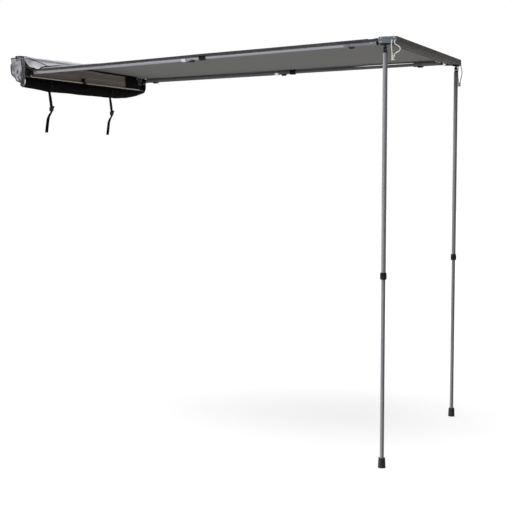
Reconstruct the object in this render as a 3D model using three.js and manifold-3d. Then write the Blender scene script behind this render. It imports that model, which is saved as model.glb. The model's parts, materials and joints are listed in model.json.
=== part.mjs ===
import * as THREE from 'three';
import { mergeVertices } from 'three/addons/utils/BufferGeometryUtils.js';
import Module from 'manifold-3d';

const wasm = await Module();
wasm.setup();

// A side awning for a vehicle, pulled out and standing on its two legs. Millimetres, Z up.
// The origin is the centre of the backboard's rack face. X runs along the board, with the near
// end at -X. Y points at the vehicle, so the awning reaches out to -Y.

// Backboard extrusion
const boardLength = 1280;
const boardHeight = 98;
const boardDepth = 30;
const boardWall = 3;
const lipReach = 8;
const lipHeight = 5;
const slotMouth = 8;
const slotNeck = 3;
const slotWidth = 16;
const slotDepth = 10;
const slotSpacing = 48;
const grooveDepth = 1.2;
const grooveWidth = 3;
const grooveCount = 4;
const boardKederDrop = 14;
const kederRadius = 3.2;
const kederMouth = 2.4;
const kederDepth = 6;
const boardCapThickness = 3;

// Front beam and its ends
const reach = 2023;
const beamRise = 73;
const beamLength = 1280;
const beamDepth = 52;
const beamHeight = 30;
const beamWall = 3;
const beamGrooveDepth = 2;
const beamGrooveWidth = 4;
const beamGrooveCount = 3;
const beamKederDrop = 6;
const endPlateDepth = 86;
const endPlateThickness = 3;
const endPlateChamfer = 4;
const cornerLength = 56;
const cornerPlate = 2.3;
const cornerTopDrop = 9;

// Folding arms, one at each end
const armInset = 30;
const armHingeReach = 58;
const nearHingeHeight = -25;
const farHingeHeight = 9;
const nearTipHeight = 51;
const farTipHeight = 56.7;
const nearHingeLean = 0.016;
const farHingeLean = 0.022;
const armTubeRadius = 11.5;
const midTubeRadius = 10;
const innerTubeRadius = 8.6;
const tipTubeRadius = 11;
const armTubeWall = 1.2;
const armTubeStart = 22;
const armTubeEnd = 897;
const endRingLength = 23;
const endRingWall = 1.2;
const midTubeShown = 93;
const tubeOverlap = 97;
const armCollarLength = 32;
const armCollarRadius = 14;
const armCollarChamfer = 1.2;
const tipTubeLength = 157;
const tipCollarLength = 22;
const tipCollarRadius = 12.5;
const tipCollarChamfer = 2;
const innerTubeInsert = 37;

// Arm hinge: knuckle between two ears
const hingePinRadius = 4;
const hingeHeadRadius = 7;
const hingeHeadHeight = 2;
const knuckleRadius = 10;
const knuckleHeight = 22;
const knucklePlug = 25;
const knuckleShoulder = 2;
const earThickness = 4;
const earGap = 1.5;
const bracketWidth = 44;
const bracketHeight = 37;
const bracketBase = 4;

// Arm tip: flange and hook round the upright pin of the beam's corner
const tipPinRadius = 4;
const tipPinInset = 19;
const hookWall = 4.5;
const hookThickness = 3;
const flangeThickness = 5;
const flangeWidth = 24;
const flangeBelow = 11;
const nearFlangeAbove = 20;
const farFlangeAbove = 11;
const tipTubeToPin = 32;
const tipPlug = 8;
const latchToPin = 48;
const latchStemRadius = 2.5;
const latchKnobRadius = 6;
const latchKnobHeight = 6;
const latchStemInside = 7;
const latchAngle = Math.PI / 4;

// Legs
const nearLegSetback = 63;
const farLegSetback = 21;
const legInset = 30;
const legLength = 1956;
const legPivotDrop = 20;
const legTubeStart = 40;
const legUpperRadius = 11;
const legLowerRadius = 9.5;
const legTubeWall = 1.2;
const legCollarTop = 1042;
const legCollarLength = 32;
const legCollarRadius = 15.5;
const legCollarChamfer = 1.5;
const legUpperInCollar = 22;
const legLowerInUpper = 114;
const legBracketBase = 4;
const legBracketWidth = 40;
const legBracketLength = 36;
const legTongueWidth = 8;
const legTongueRadius = 6;
const legTongueShown = 12;
const legPinRadius = 2.5;
const legPinHeadRadius = 4.5;
const legPinHead = 1.4;
const legForkRadius = 7.5;
const legForkWidth = 15;
const legForkWeb = 9;
const legPlug = 25;
const footHeight = 46;
const footTopRadius = 16;
const footRadius = 18;
const footFloor = 10;

// Canopy sheet
const canopyThickness = 1.6;
const canopyEdgeInset = 4;
const canopyBoardInset = 65;
const canopyBeamInset = 45;
const canopyCornerStart = 54;
const canopyCornerEnd = 88;
const canopyCornerSlope = 16;
const canopySag = 6;
const canopyDroopPower = 2.6;
const canopyColumns = 14;
const canopyRows = 10;

// Storage bag, opened
const flapThickness = 3;
const lowerFlapDepth = 64;
const lowerFlapReach = 46;
const lowerFlapWidth = 35;
const upperFlapRise = 20;
const upperFlapBack = 64;
const upperFlapFront = 43;
const upperFlapDrape = 84;
const upperFlapLift = 11;
const upperFlapExtraLift = 7;
const upperFlapThickness = 9;
const nearBagEndDepth = 27;
const farBagEndDepth = 34;
const bagEndBack = 30;
const bagEndFront = 46;
const bagEndTop = 52;

// Straps with buckles, hanging from the bag
const strapWidth = 20;
const strapThickness = 2;
const strapLength = 218;
const strapReach = 30;
const nearStrapPlace = -398;
const farStrapPlace = 246;
const buckleWidth = 28;
const buckleHeight = 20;
const buckleDepth = 9;
const buckleProng = 22;
const buckleProngThickness = 4;

// Rest for the folded arm, on the board's face
const restPlace = 60;
const restWidth = 14;
const restWall = 3;

// Guy ropes
const ropeRadius = 2.5;
const ropeSides = 8;
const ropeSteps = 28;
const knotRadius = 9;
const knotHeight = 20;

// Clearances and facets
const seat = 0.3;
const fit = 0.3;
const restFit = 0.8;
const hookFit = 0.5;
const overrun = 2;
const weld = 0.0001;
const tubeSides = 20;
const pinSides = 12;
const arcSteps = 6;

// Places that several pieces share
const boardTop = boardHeight / 2;
const boardBottom = -boardHeight / 2;
const boardFace = -boardDepth;
const boardEnd = boardLength / 2;
const beamTop = beamRise;
const beamBottom = beamRise - beamHeight;
const beamOuter = -reach;
const beamInner = beamDepth - reach;
const beamEnd = beamLength / 2;
const plateInner = endPlateDepth - reach;
const tipPinY = beamInner + tipPinInset;
const cornerTop = beamTop - cornerTopDrop;
const hookHeight = (beamBottom + cornerPlate + cornerTop - cornerPlate) / 2;
const boardKeder = boardTop - boardKederDrop;
const beamKeder = beamTop - beamKederDrop;
const groundHeight = beamBottom - legLength;

function paint(colour, roughness, metalness) {
  return new THREE.MeshStandardMaterial({ color: colour, roughness, metalness });
}

const finishes = {
  boardAluminium: paint(0x5a504a, 0.5, 0.6),
  beamAluminium: paint(0x3c3430, 0.45, 0.6),
  tubeAluminium: paint(0x9aa0a6, 0.35, 0.8),
  plateAluminium: paint(0x555a62, 0.45, 0.7),
  brightRing: paint(0xd8dadc, 0.25, 0.9),
  blackPlastic: paint(0x141415, 0.55, 0),
  steelPin: paint(0x8a8c90, 0.3, 1),
  rubberFoot: paint(0x121212, 0.85, 0),
  canopyCloth: paint(0x6c6b68, 0.85, 0),
  bagBlack: paint(0x0e0e0f, 0.6, 0),
  bagSilver: paint(0xa5a5af, 0.45, 0.2),
  webbing: paint(0x101010, 0.9, 0),
  ropeWhite: paint(0xe0e0dc, 0.9, 0),
};

// Welds the corners of a shape, drops faces that collapsed and turns it to face out.
function closed(geometry) {
  const bare = geometry.index ? geometry.toNonIndexed() : geometry.clone();
  bare.deleteAttribute('normal');
  bare.deleteAttribute('uv');
  const merged = mergeVertices(bare, weld);
  const corners = merged.index.array;
  const spot = [new THREE.Vector3(), new THREE.Vector3(), new THREE.Vector3()];
  const kept = [];
  let volume = 0;
  for (let i = 0; i < corners.length; i += 3) {
    const face = [corners[i], corners[i + 1], corners[i + 2]];
    if (new Set(face).size === 3) {
      face.forEach((corner, k) => spot[k].fromBufferAttribute(merged.attributes.position, corner));
      volume += spot[0].dot(spot[1].clone().cross(spot[2]));
      kept.push(...face);
    }
  }
  merged.setIndex(volume < 0 ? kept.reverse() : kept);
  return merged;
}

function solidOf(geometry) {
  const ready = closed(geometry);
  const vertProperties = Float32Array.from(ready.attributes.position.array);
  const triVerts = Uint32Array.from(ready.index.array);
  return new wasm.Manifold(new wasm.Mesh({ numProp: 3, vertProperties, triVerts }));
}

function shapeOf(solid) {
  const mesh = solid.getMesh();
  const geometry = new THREE.BufferGeometry();
  geometry.setAttribute('position', new THREE.BufferAttribute(mesh.vertProperties, 3));
  geometry.setIndex(new THREE.BufferAttribute(mesh.triVerts, 1));
  return geometry;
}

function join(first, ...others) {
  return shapeOf(others.reduce((sum, next) => sum.add(solidOf(next)), solidOf(first)));
}

function cut(first, ...others) {
  return shapeOf(others.reduce((rest, next) => rest.subtract(solidOf(next)), solidOf(first)));
}

// Turns a profile of [radius, height] points about Y.
function turned(profile, sides = tubeSides) {
  return closed(new THREE.LatheGeometry(profile.map(([r, h]) => new THREE.Vector2(r, h)), sides));
}

function rod(radius, from, to, sides = tubeSides) {
  return turned([[0, from], [radius, from], [radius, to], [0, to]], sides);
}

function pipe(inner, outer, from, to) {
  return turned([[inner, from], [outer, from], [outer, to], [inner, to], [inner, from]]);
}

const upright = (geometry) => geometry.rotateX(Math.PI / 2);

function block(x0, x1, y0, y1, z0, z1) {
  const box = new THREE.BoxGeometry(Math.abs(x1 - x0), Math.abs(y1 - y0), Math.abs(z1 - z0));
  return box.translate((x0 + x1) / 2, (y0 + y1) / 2, (z0 + z1) / 2);
}

const outline = (points) => new THREE.Shape(points.map(([u, v]) => new THREE.Vector2(u, v)));

// Pushes a section drawn in (Y, Z) along X.
function alongX(points, x0, x1) {
  const body = new THREE.ExtrudeGeometry(outline(points), { depth: x1 - x0, bevelEnabled: false });
  const turn = new THREE.Matrix4().makeBasis(
    new THREE.Vector3(0, 1, 0),
    new THREE.Vector3(0, 0, 1),
    new THREE.Vector3(1, 0, 0),
  );
  return closed(body.applyMatrix4(turn).translate(x0, 0, 0));
}

function arc(cu, cv, radius, from, to, steps = arcSteps) {
  return Array.from({ length: steps + 1 }, (_, i) => {
    const angle = from + ((to - from) * i) / steps;
    return [cu + radius * Math.cos(angle), cv + radius * Math.sin(angle)];
  });
}

// Joins rings of points, one ring a station, into a closed body. Each ring runs out along one
// side and comes back along the other, so its ends close as strips.
function loft(rings) {
  const count = rings[0].length;
  const positions = rings.flat().flatMap((point) => [point.x, point.y, point.z]);
  const faces = [];
  for (let r = 0; r + 1 < rings.length; r += 1) {
    for (let i = 0; i < count; i += 1) {
      const a = r * count + i;
      const b = r * count + ((i + 1) % count);
      faces.push(a, b, b + count, a, b + count, a + count);
    }
  }
  const last = (rings.length - 1) * count;
  for (let i = 0; i + 1 < count / 2; i += 1) {
    const across = count - 1 - i;
    faces.push(i + 1, i, across, i + 1, across, across - 1);
    faces.push(last + i, last + i + 1, last + across, last + i + 1, last + across - 1, last + across);
  }
  const geometry = new THREE.BufferGeometry();
  geometry.setAttribute('position', new THREE.Float32BufferAttribute(positions, 3));
  geometry.setIndex(faces);
  return closed(geometry);
}

const stationAt = (x, points) => points.map(([y, z]) => new THREE.Vector3(x, y, z));

// A groove for the sheet's beaded edge, open at (u, v) towards the given side.
function kederGroove(u, v, side) {
  const half = Math.asin(kederMouth / 2 / kederRadius);
  const start = side > 0 ? -half : Math.PI - half;
  const mouth = (side * kederMouth) / 2;
  const room = arc(u - side * kederDepth, v, kederRadius, start, start - 2 * (Math.PI - half), 2 * arcSteps);
  return [[u, v - mouth], ...room, [u, v + mouth]];
}

function backboardSection() {
  const slotHalf = slotMouth / 2;
  const roomHalf = slotWidth / 2;
  const slotAt = (z) => [
    [0, z - slotHalf], [-slotNeck, z - slotHalf], [-slotNeck, z - roomHalf], [-slotDepth, z - roomHalf],
    [-slotDepth, z + roomHalf], [-slotNeck, z + roomHalf], [-slotNeck, z + slotHalf], [0, z + slotHalf],
  ];
  const low = boardBottom + lipHeight + 2 * boardWall;
  const high = boardKeder - kederRadius - 2 * boardWall;
  const grooves = Array.from({ length: grooveCount }, (_, i) => {
    const z = high - ((high - low) * i) / (grooveCount - 1);
    return [
      [boardFace, z + grooveWidth / 2], [boardFace + grooveDepth, z + grooveWidth / 2],
      [boardFace + grooveDepth, z - grooveWidth / 2], [boardFace, z - grooveWidth / 2],
    ];
  });
  return [
    [0, boardBottom],
    ...slotAt(-slotSpacing / 2),
    ...slotAt(slotSpacing / 2),
    [0, boardTop],
    [boardFace, boardTop],
    ...kederGroove(boardFace, boardKeder, -1),
    ...grooves.flat(),
    [boardFace, boardBottom + lipHeight],
    [boardFace - lipReach, boardBottom + lipHeight],
    [boardFace - lipReach, boardBottom],
  ];
}

// A hollow extrusion of the given half length: its section with the cells cut right through.
function extrusion(section, cells, half) {
  const cores = cells.map(([y0, y1, z0, z1]) => block(-half - overrun, half + overrun, y0, y1, z0, z1));
  return cut(alongX(section, -half, half), ...cores);
}

const object = new THREE.Group();

function piece(parent, name, geometry, material) {
  const ready = closed(geometry).toNonIndexed();
  ready.computeVertexNormals();
  const mesh = new THREE.Mesh(ready, material);
  mesh.name = name;
  parent.add(mesh);
}

function buildBackboard() {
  const cellBack = -slotDepth - boardWall;
  const cellFront = boardFace + boardWall;
  const cellTop = boardKeder - kederRadius - boardWall;
  const cells = [
    [cellFront, cellBack, boardBottom + boardWall, -boardWall / 2],
    [cellFront, cellBack, boardWall / 2, cellTop],
  ];
  piece(object, 'backboard', extrusion(backboardSection(), cells, boardEnd), finishes.boardAluminium);
  const cap = [
    [0, boardBottom], [0, boardTop], [boardFace, boardTop],
    [boardFace, boardBottom + lipHeight], [boardFace - lipReach, boardBottom + lipHeight],
    [boardFace - lipReach, boardBottom],
  ];
  const from = boardEnd + seat;
  const to = from + boardCapThickness;
  piece(object, 'near_board_cap', alongX(cap, -to, -from), finishes.blackPlastic);
  piece(object, 'far_board_cap', alongX(cap, from, to), finishes.blackPlastic);
}

function buildBeam() {
  const pitch = beamHeight / (beamGrooveCount + 1);
  const grooves = Array.from({ length: beamGrooveCount }, (_, i) => {
    const z = beamTop - pitch * (i + 1);
    return [
      [beamOuter, z + beamGrooveWidth / 2], [beamOuter + beamGrooveDepth, z + beamGrooveWidth / 2],
      [beamOuter + beamGrooveDepth, z - beamGrooveWidth / 2], [beamOuter, z - beamGrooveWidth / 2],
    ];
  });
  const underPitch = beamDepth / (beamGrooveCount + 1);
  const under = Array.from({ length: beamGrooveCount }, (_, i) => {
    const y = beamOuter + underPitch * (i + 1);
    return [
      [y - beamGrooveWidth / 2, beamBottom], [y - beamGrooveWidth / 2, beamBottom + beamGrooveDepth],
      [y + beamGrooveWidth / 2, beamBottom + beamGrooveDepth], [y + beamGrooveWidth / 2, beamBottom],
    ];
  });
  const section = [
    [beamInner, beamBottom],
    ...kederGroove(beamInner, beamKeder, 1),
    [beamInner, beamTop],
    [beamOuter, beamTop],
    ...grooves.flat(),
    [beamOuter, beamBottom],
    ...under.flat(),
  ];
  const skin = beamWall + beamGrooveDepth;
  const middle = (beamOuter + beamInner) / 2;
  const roof = beamTop - beamWall;
  const cells = [
    [beamOuter + skin, middle - beamWall / 2, beamBottom + skin, roof],
    [middle + beamWall / 2, beamInner - kederDepth - kederRadius - beamWall, beamBottom + skin, roof],
  ];
  piece(object, 'front_beam', extrusion(section, cells, beamEnd), finishes.beamAluminium);
}

// End plate, corner with its upright pin, and the leg's bracket and pin, at one end of the beam.
function buildBeamEnd(name, side, legReach) {
  const plateFrom = beamEnd + seat;
  const plateTo = plateFrom + endPlateThickness;
  const c = endPlateChamfer;
  const plate = [
    [beamOuter, beamBottom + c], [beamOuter + c, beamBottom], [plateInner - c, beamBottom],
    [plateInner, beamBottom + c], [plateInner, beamTop - c], [plateInner - c, beamTop],
    [beamOuter + c, beamTop], [beamOuter, beamTop - c],
  ];
  const ends = [side * plateFrom, side * plateTo].sort((a, b) => a - b);
  piece(object, `${name}_end_plate`, alongX(plate, ...ends), finishes.plateAluminium);

  const x0 = side * (beamEnd - cornerLength);
  const x1 = side * beamEnd;
  const back = beamInner + seat;
  const pinX = side * (beamEnd - armInset);
  const under = beamBottom + seat;
  const pin = upright(rod(tipPinRadius, under + cornerPlate / 2, cornerTop - cornerPlate / 2, pinSides));
  const corner = join(
    block(x0, x1, back, back + cornerPlate, under, cornerTop),
    block(x0, x1, back, plateInner, under, under + cornerPlate),
    block(x0, x1, back, plateInner, cornerTop - cornerPlate, cornerTop),
    pin.translate(pinX, tipPinY, 0),
  );
  piece(object, `${name}_beam_corner`, corner, finishes.blackPlastic);

  const legX = side * (beamEnd - legInset);
  const pivot = beamBottom - legPivotDrop;
  const baseTop = beamBottom - seat;
  const neck = pivot + legTongueShown;
  const shoulder = alongX(
    [
      [-legTongueWidth / 2, neck], [legTongueWidth / 2, neck],
      [legBracketWidth / 2, baseTop - legBracketBase], [legBracketWidth / 2, baseTop],
      [-legBracketWidth / 2, baseTop], [-legBracketWidth / 2, baseTop - legBracketBase],
    ],
    -legBracketLength / 2,
    legBracketLength / 2,
  );
  const tongue = join(
    block(-legTongueRadius, legTongueRadius, -legTongueWidth / 2, legTongueWidth / 2, pivot, neck + overrun),
    rod(legTongueRadius, -legTongueWidth / 2, legTongueWidth / 2).translate(0, 0, pivot),
  );
  const hole = rod(legPinRadius + fit, -legBracketWidth, legBracketWidth, pinSides).translate(0, 0, pivot);
  const bracket = cut(join(shoulder, tongue), hole).translate(legX, -legReach, 0);
  piece(object, `${name}_leg_bracket`, bracket, finishes.blackPlastic);

  const half = legForkWidth / 2 + seat;
  const legPin = turned(
    [
      [0, -half - legPinHead], [legPinHeadRadius, -half - legPinHead], [legPinHeadRadius, -half],
      [legPinRadius, -half], [legPinRadius, half], [legPinHeadRadius, half],
      [legPinHeadRadius, half + legPinHead], [0, half + legPinHead],
    ],
    pinSides,
  );
  piece(object, `${name}_leg_pin`, legPin.translate(legX, -legReach, pivot), finishes.steelPin);
}

// A leg hangs from its bracket's pin, with its lower tube drawn out of the upper one.
function buildLeg(name, side, legReach) {
  const leg = new THREE.Group();
  leg.position.set(side * (beamEnd - legInset), -legReach, beamBottom);
  object.add(leg);

  const pivot = -legPivotDrop;
  const tubeTop = -legTubeStart;
  const bore = legUpperRadius - legTubeWall;
  const web = pivot - legForkWeb;
  const fork = join(
    rod(legForkRadius, -legForkWidth / 2, legForkWidth / 2).translate(0, 0, pivot),
    block(-legForkRadius, legForkRadius, -legForkWidth / 2, legForkWidth / 2, web, pivot),
    upright(turned([
      [0, tubeTop - legPlug], [bore - fit, tubeTop - legPlug], [bore - fit, tubeTop + seat],
      [legUpperRadius, tubeTop + seat], [legForkRadius, web], [0, web],
    ])),
  );
  const half = legTongueWidth / 2 + fit;
  const slot = block(-legUpperRadius, legUpperRadius, -half, half, web, pivot + 2 * legForkRadius);
  const hole = rod(legPinRadius + fit, -legForkWidth, legForkWidth, pinSides).translate(0, 0, pivot);
  piece(leg, `${name}_leg_knuckle`, cut(fork, slot, hole), finishes.blackPlastic);

  const upperEnd = -legCollarTop - legUpperInCollar;
  const upper = upright(pipe(bore, legUpperRadius, upperEnd, tubeTop));
  piece(leg, `${name}_leg_upper_tube`, upper, finishes.tubeAluminium);

  const collarEnd = -legCollarTop - legCollarLength;
  const wide = legUpperRadius + fit;
  const narrow = legLowerRadius + fit;
  const step = upperEnd - seat;
  const edge = legCollarChamfer;
  const collar = upright(turned([
    [narrow, collarEnd], [legCollarRadius - edge, collarEnd], [legCollarRadius, collarEnd + edge],
    [legCollarRadius, -legCollarTop - edge], [legCollarRadius - edge, -legCollarTop],
    [wide, -legCollarTop], [wide, step], [narrow, step], [narrow, collarEnd],
  ]));
  piece(leg, `${name}_leg_collar`, collar, finishes.blackPlastic);

  const tubeFoot = -legLength + footFloor + seat;
  const lowerTop = upperEnd + legLowerInUpper;
  const lower = upright(pipe(legLowerRadius - legTubeWall, legLowerRadius, tubeFoot, lowerTop));
  piece(leg, `${name}_leg_lower_tube`, lower, finishes.tubeAluminium);

  const footTop = -legLength + footHeight;
  const foot = upright(turned([
    [0, -legLength], [footRadius, -legLength], [footTopRadius, footTop], [narrow, footTop],
    [narrow, -legLength + footFloor], [0, -legLength + footFloor],
  ]));
  piece(leg, `${name}_foot`, foot, finishes.rubberFoot);
}

// The arm's own frame: Y runs out along the arm, Z is the hinge pin, which leans a little.
function armFrame(side, hingeHeight, tipHeight, lean) {
  const run = -armHingeReach - tipPinY;
  const outward = new THREE.Vector3(0, -run, tipHeight - hingeHeight);
  const length = outward.length();
  outward.normalize();
  const across = new THREE.Vector3(-1, 0, lean).normalize();
  const pin = across.clone().cross(outward).normalize();
  across.crossVectors(outward, pin);
  const matrix = new THREE.Matrix4().makeBasis(across, outward, pin);
  matrix.setPosition(side * (beamEnd - armInset), -armHingeReach, hingeHeight);
  return { matrix, length, side, hingeHeight, tipHeight };
}

function buildArmBracket(name, frame) {
  const hingeX = frame.side * (beamEnd - armInset);
  const base = block(
    hingeX - bracketWidth / 2, hingeX + bracketWidth / 2, boardFace - seat - bracketBase, boardFace - seat,
    frame.hingeHeight - bracketHeight / 2, frame.hingeHeight + bracketHeight / 2,
  );
  const root = armHingeReach + boardFace - seat - bracketBase / 2;
  const inside = knuckleHeight / 2 + earGap;
  const outside = inside + earThickness;
  const earAt = (z0, z1) => join(
    block(-knuckleRadius, knuckleRadius, -root, 0, z0, z1),
    upright(rod(knuckleRadius, z0, z1)),
  );
  const hole = upright(rod(hingePinRadius + fit, -outside - overrun, outside + overrun, pinSides));
  const ears = [earAt(inside, outside), earAt(-outside, -inside)].map((ear) => cut(ear, hole));
  const bracket = join(base, ...ears.map((ear) => ear.applyMatrix4(frame.matrix)));
  piece(object, `${name}_arm_bracket`, bracket, finishes.blackPlastic);

  const half = outside + seat;
  const pin = upright(turned(
    [
      [0, -half - hingeHeadHeight], [hingeHeadRadius, -half - hingeHeadHeight], [hingeHeadRadius, -half],
      [hingePinRadius, -half], [hingePinRadius, half], [hingeHeadRadius, half],
      [hingeHeadRadius, half + hingeHeadHeight], [0, half + hingeHeadHeight],
    ],
    pinSides,
  ));
  piece(object, `${name}_arm_pin`, pin.applyMatrix4(frame.matrix), finishes.steelPin);
}

// Knuckle, three sliding tubes with their collars, and the tip with its hook and latch.
function buildArm(name, frame, flangeAbove) {
  const arm = new THREE.Group();
  arm.applyMatrix4(frame.matrix);
  object.add(arm);
  const outboard = -frame.side;
  const bore = armTubeRadius - armTubeWall;
  const eyeHalf = knuckleHeight / 2;

  const knuckle = cut(
    join(
      upright(rod(knuckleRadius, -eyeHalf, eyeHalf)),
      rod(knuckleRadius, 0, knuckleRadius + knuckleShoulder),
      turned([
        [0, knuckleRadius], [knuckleRadius, knuckleRadius], [armTubeRadius, knuckleRadius + knuckleShoulder],
        [armTubeRadius, armTubeStart - seat], [bore - fit, armTubeStart - seat],
        [bore - fit, armTubeStart + knucklePlug], [0, armTubeStart + knucklePlug],
      ]),
    ),
    upright(rod(hingePinRadius + fit, -knuckleHeight, knuckleHeight, pinSides)),
  );
  piece(arm, `${name}_arm_knuckle`, knuckle, finishes.blackPlastic);
  const outer = pipe(bore, armTubeRadius, armTubeStart, armTubeEnd);
  piece(arm, `${name}_arm_outer_tube`, outer, finishes.tubeAluminium);

  const ringInner = armTubeRadius + fit;
  const ring = pipe(ringInner, ringInner + endRingWall, armTubeEnd - endRingLength, armTubeEnd);
  piece(arm, `${name}_arm_end_ring`, ring, finishes.brightRing);

  const midEnd = armTubeEnd + midTubeShown;
  const midBore = midTubeRadius - armTubeWall;
  const mid = pipe(midBore, midTubeRadius, armTubeEnd - tubeOverlap, midEnd);
  piece(arm, `${name}_arm_mid_tube`, mid, finishes.tubeAluminium);

  const collarEnd = midEnd + armCollarLength / 3;
  const collarStart = collarEnd - armCollarLength;
  const wide = midTubeRadius + fit;
  const narrow = innerTubeRadius + fit;
  const edge = armCollarChamfer;
  const collar = turned([
    [wide, collarStart], [armCollarRadius - edge, collarStart], [armCollarRadius, collarStart + edge],
    [armCollarRadius, collarEnd - edge], [armCollarRadius - edge, collarEnd], [narrow, collarEnd],
    [narrow, midEnd + seat], [wide, midEnd + seat], [wide, collarStart],
  ]);
  piece(arm, `${name}_arm_collar`, collar, finishes.blackPlastic);

  const tipEnd = frame.length - tipTubeToPin;
  const tipStart = tipEnd - tipTubeLength;
  const inner = pipe(
    innerTubeRadius - armTubeWall, innerTubeRadius, midEnd - tubeOverlap, tipStart + innerTubeInsert,
  );
  piece(arm, `${name}_arm_inner_tube`, inner, finishes.tubeAluminium);

  const latchAt = frame.length - latchToPin;
  const turnLatch = (part) => upright(part).rotateY(outboard * latchAngle).translate(0, latchAt, 0);
  const tipBore = innerTubeRadius + fit;
  const sleeve = turned([
    [tipBore, tipStart], [tipCollarRadius, tipStart], [tipCollarRadius, tipStart + tipCollarLength],
    [tipTubeRadius, tipStart + tipCollarLength + tipCollarChamfer],
    [tipTubeRadius, tipEnd], [tipBore, tipEnd], [tipBore, tipStart],
  ]);
  const latchHole = rod(latchStemRadius + fit, latchStemInside, tipTubeRadius + overrun, pinSides);
  piece(arm, `${name}_arm_tip_tube`, cut(sleeve, turnLatch(latchHole)), finishes.tubeAluminium);

  const knobFrom = tipTubeRadius + seat;
  const stemFrom = latchStemInside;
  const latch = turned(
    [
      [0, stemFrom], [latchStemRadius, stemFrom], [latchStemRadius, knobFrom], [latchKnobRadius, knobFrom],
      [latchKnobRadius, knobFrom + latchKnobHeight], [0, knobFrom + latchKnobHeight],
    ],
    pinSides,
  );
  piece(arm, `${name}_arm_latch`, turnLatch(latch), finishes.blackPlastic);

  const flangeFrom = tipEnd + seat;
  const flangeTo = flangeFrom + flangeThickness;
  const flangeMiddle = (flangeFrom + flangeTo) / 2;
  const hookZ = hookHeight - frame.tipHeight;
  const hookInner = tipPinRadius + hookFit;
  const hookOuter = hookInner + hookWall;
  const low = hookZ - hookThickness / 2;
  const high = hookZ + hookThickness / 2;
  const tongue = join(
    upright(rod(hookOuter, low, high)).translate(0, frame.length, 0),
    block(-hookInner, hookInner, flangeMiddle, frame.length, low, high),
  );
  const mouth = block(
    0, outboard * (hookOuter + overrun), frame.length - hookInner, frame.length + hookInner,
    low - overrun, high + overrun,
  );
  const hole = upright(rod(hookInner, low - overrun, high + overrun)).translate(0, frame.length, 0);
  const hook = join(
    cut(tongue, hole, mouth),
    block(-flangeWidth / 2, flangeWidth / 2, flangeFrom, flangeTo, -flangeBelow, flangeAbove),
    rod(tipBore - fit, tipEnd - tipPlug, flangeMiddle),
  );
  piece(arm, `${name}_arm_tip_hook`, hook, finishes.blackPlastic);
}

// Height of an arm's centre line where it lies at the given Y.
function armHeightAt(y, hingeHeight, tipHeight) {
  const share = (-armHingeReach - y) / (-armHingeReach - tipPinY);
  return hingeHeight + (tipHeight - hingeHeight) * share;
}

const canopyFrom = boardFace - seat;
const canopyTo = beamInner + seat;
const canopySide = beamEnd - canopyEdgeInset;
const canopyRise = armCollarRadius + seat + canopyThickness;

// Height of the sheet: straight between its two grooves, sagging a little in the middle, and drawn
// down to the arms along its sides. The place across is a share of the sheet's half width.
function canopyHeightAt(across, y, edge) {
  const share = (canopyFrom - y) / (canopyFrom - canopyTo);
  const middle = boardKeder + (beamKeder - boardKeder) * share;
  const sag = canopySag * 4 * share * (1 - share) * (1 - across * across);
  const arm = across < 0
    ? armHeightAt(y, nearHingeHeight, nearTipHeight)
    : armHeightAt(y, farHingeHeight, farTipHeight);
  return middle - sag + (arm + canopyRise - middle) * edge * Math.abs(across) ** canopyDroopPower;
}

// One sheet from the board's groove to the beam's, lying on the two arms along its sides.
function buildCanopy() {
  const cornerFrom = canopyFrom - canopyCornerStart;
  const cornerTo = canopyTo + canopyCornerEnd;
  const beamHalf = beamEnd - canopyBeamInset;
  const rows = [{ y: canopyFrom, half: boardEnd - canopyBoardInset, edge: 0 }];
  for (let i = 0; i <= canopyRows; i += 1) {
    rows.push({ y: cornerFrom + ((cornerTo - cornerFrom) * i) / canopyRows, half: canopySide, edge: 1 });
  }
  rows.push({ y: cornerTo - canopyCornerSlope, half: beamHalf, edge: 1 });
  rows.push({ y: canopyTo, half: beamHalf, edge: 0 });
  const rings = rows.map((row) => {
    const top = [];
    const bottom = [];
    for (let i = 0; i <= canopyColumns; i += 1) {
      const across = (2 * i) / canopyColumns - 1;
      const z = canopyHeightAt(across, row.y, row.edge);
      top.push(new THREE.Vector3(across * row.half, row.y, z + canopyThickness / 2));
      bottom.unshift(new THREE.Vector3(across * row.half, row.y, z - canopyThickness / 2));
    }
    return [...top, ...bottom];
  });
  piece(object, 'canopy', loft(rings), finishes.canopyCloth);
}

// Stations along the board: [share of its length from the middle, share of the flap's full depth].
const lowerFlapShares = [
  [-0.5, 0.81], [-0.31, 1], [0, 0.96], [0.24, 0.94], [0.34, 0.82], [0.44, 0.5], [0.5, 0.2],
];
// The flap's section: [share of its width back from the front, share of its depth at the station].
const lowerCurlShares = [[0.41, 0], [0.2, 0], [0, 0.35], [0.08, 0.7], [0.36, 1], [0.7, 0.97], [1, 0.75]];

function lowerFlapDepthAt(x) {
  const share = x / boardLength;
  const after = lowerFlapShares.findIndex(([place]) => place >= share);
  const [[x0, deep0], [x1, deep1]] = lowerFlapShares.slice(after - 1, after + 1);
  return lowerFlapDepth * (deep0 + ((deep1 - deep0) * (share - x0)) / (x1 - x0));
}

// Black lower half of the bag, hanging under the board and curling back.
function buildLowerFlap() {
  const t = flapThickness;
  const top = boardBottom - seat - t / 2;
  const front = -lowerFlapReach + t / 2;
  const rings = lowerFlapShares.map(([place, depthShare]) => {
    const deep = lowerFlapDepth * depthShare - t;
    const spine = lowerCurlShares.map(([back, down]) => [front + lowerFlapWidth * back, top - deep * down]);
    return stationAt(place * boardLength, thicken(spine, t));
  });
  piece(object, 'bag_lower_flap', loft(rings), finishes.bagBlack);
}

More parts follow.
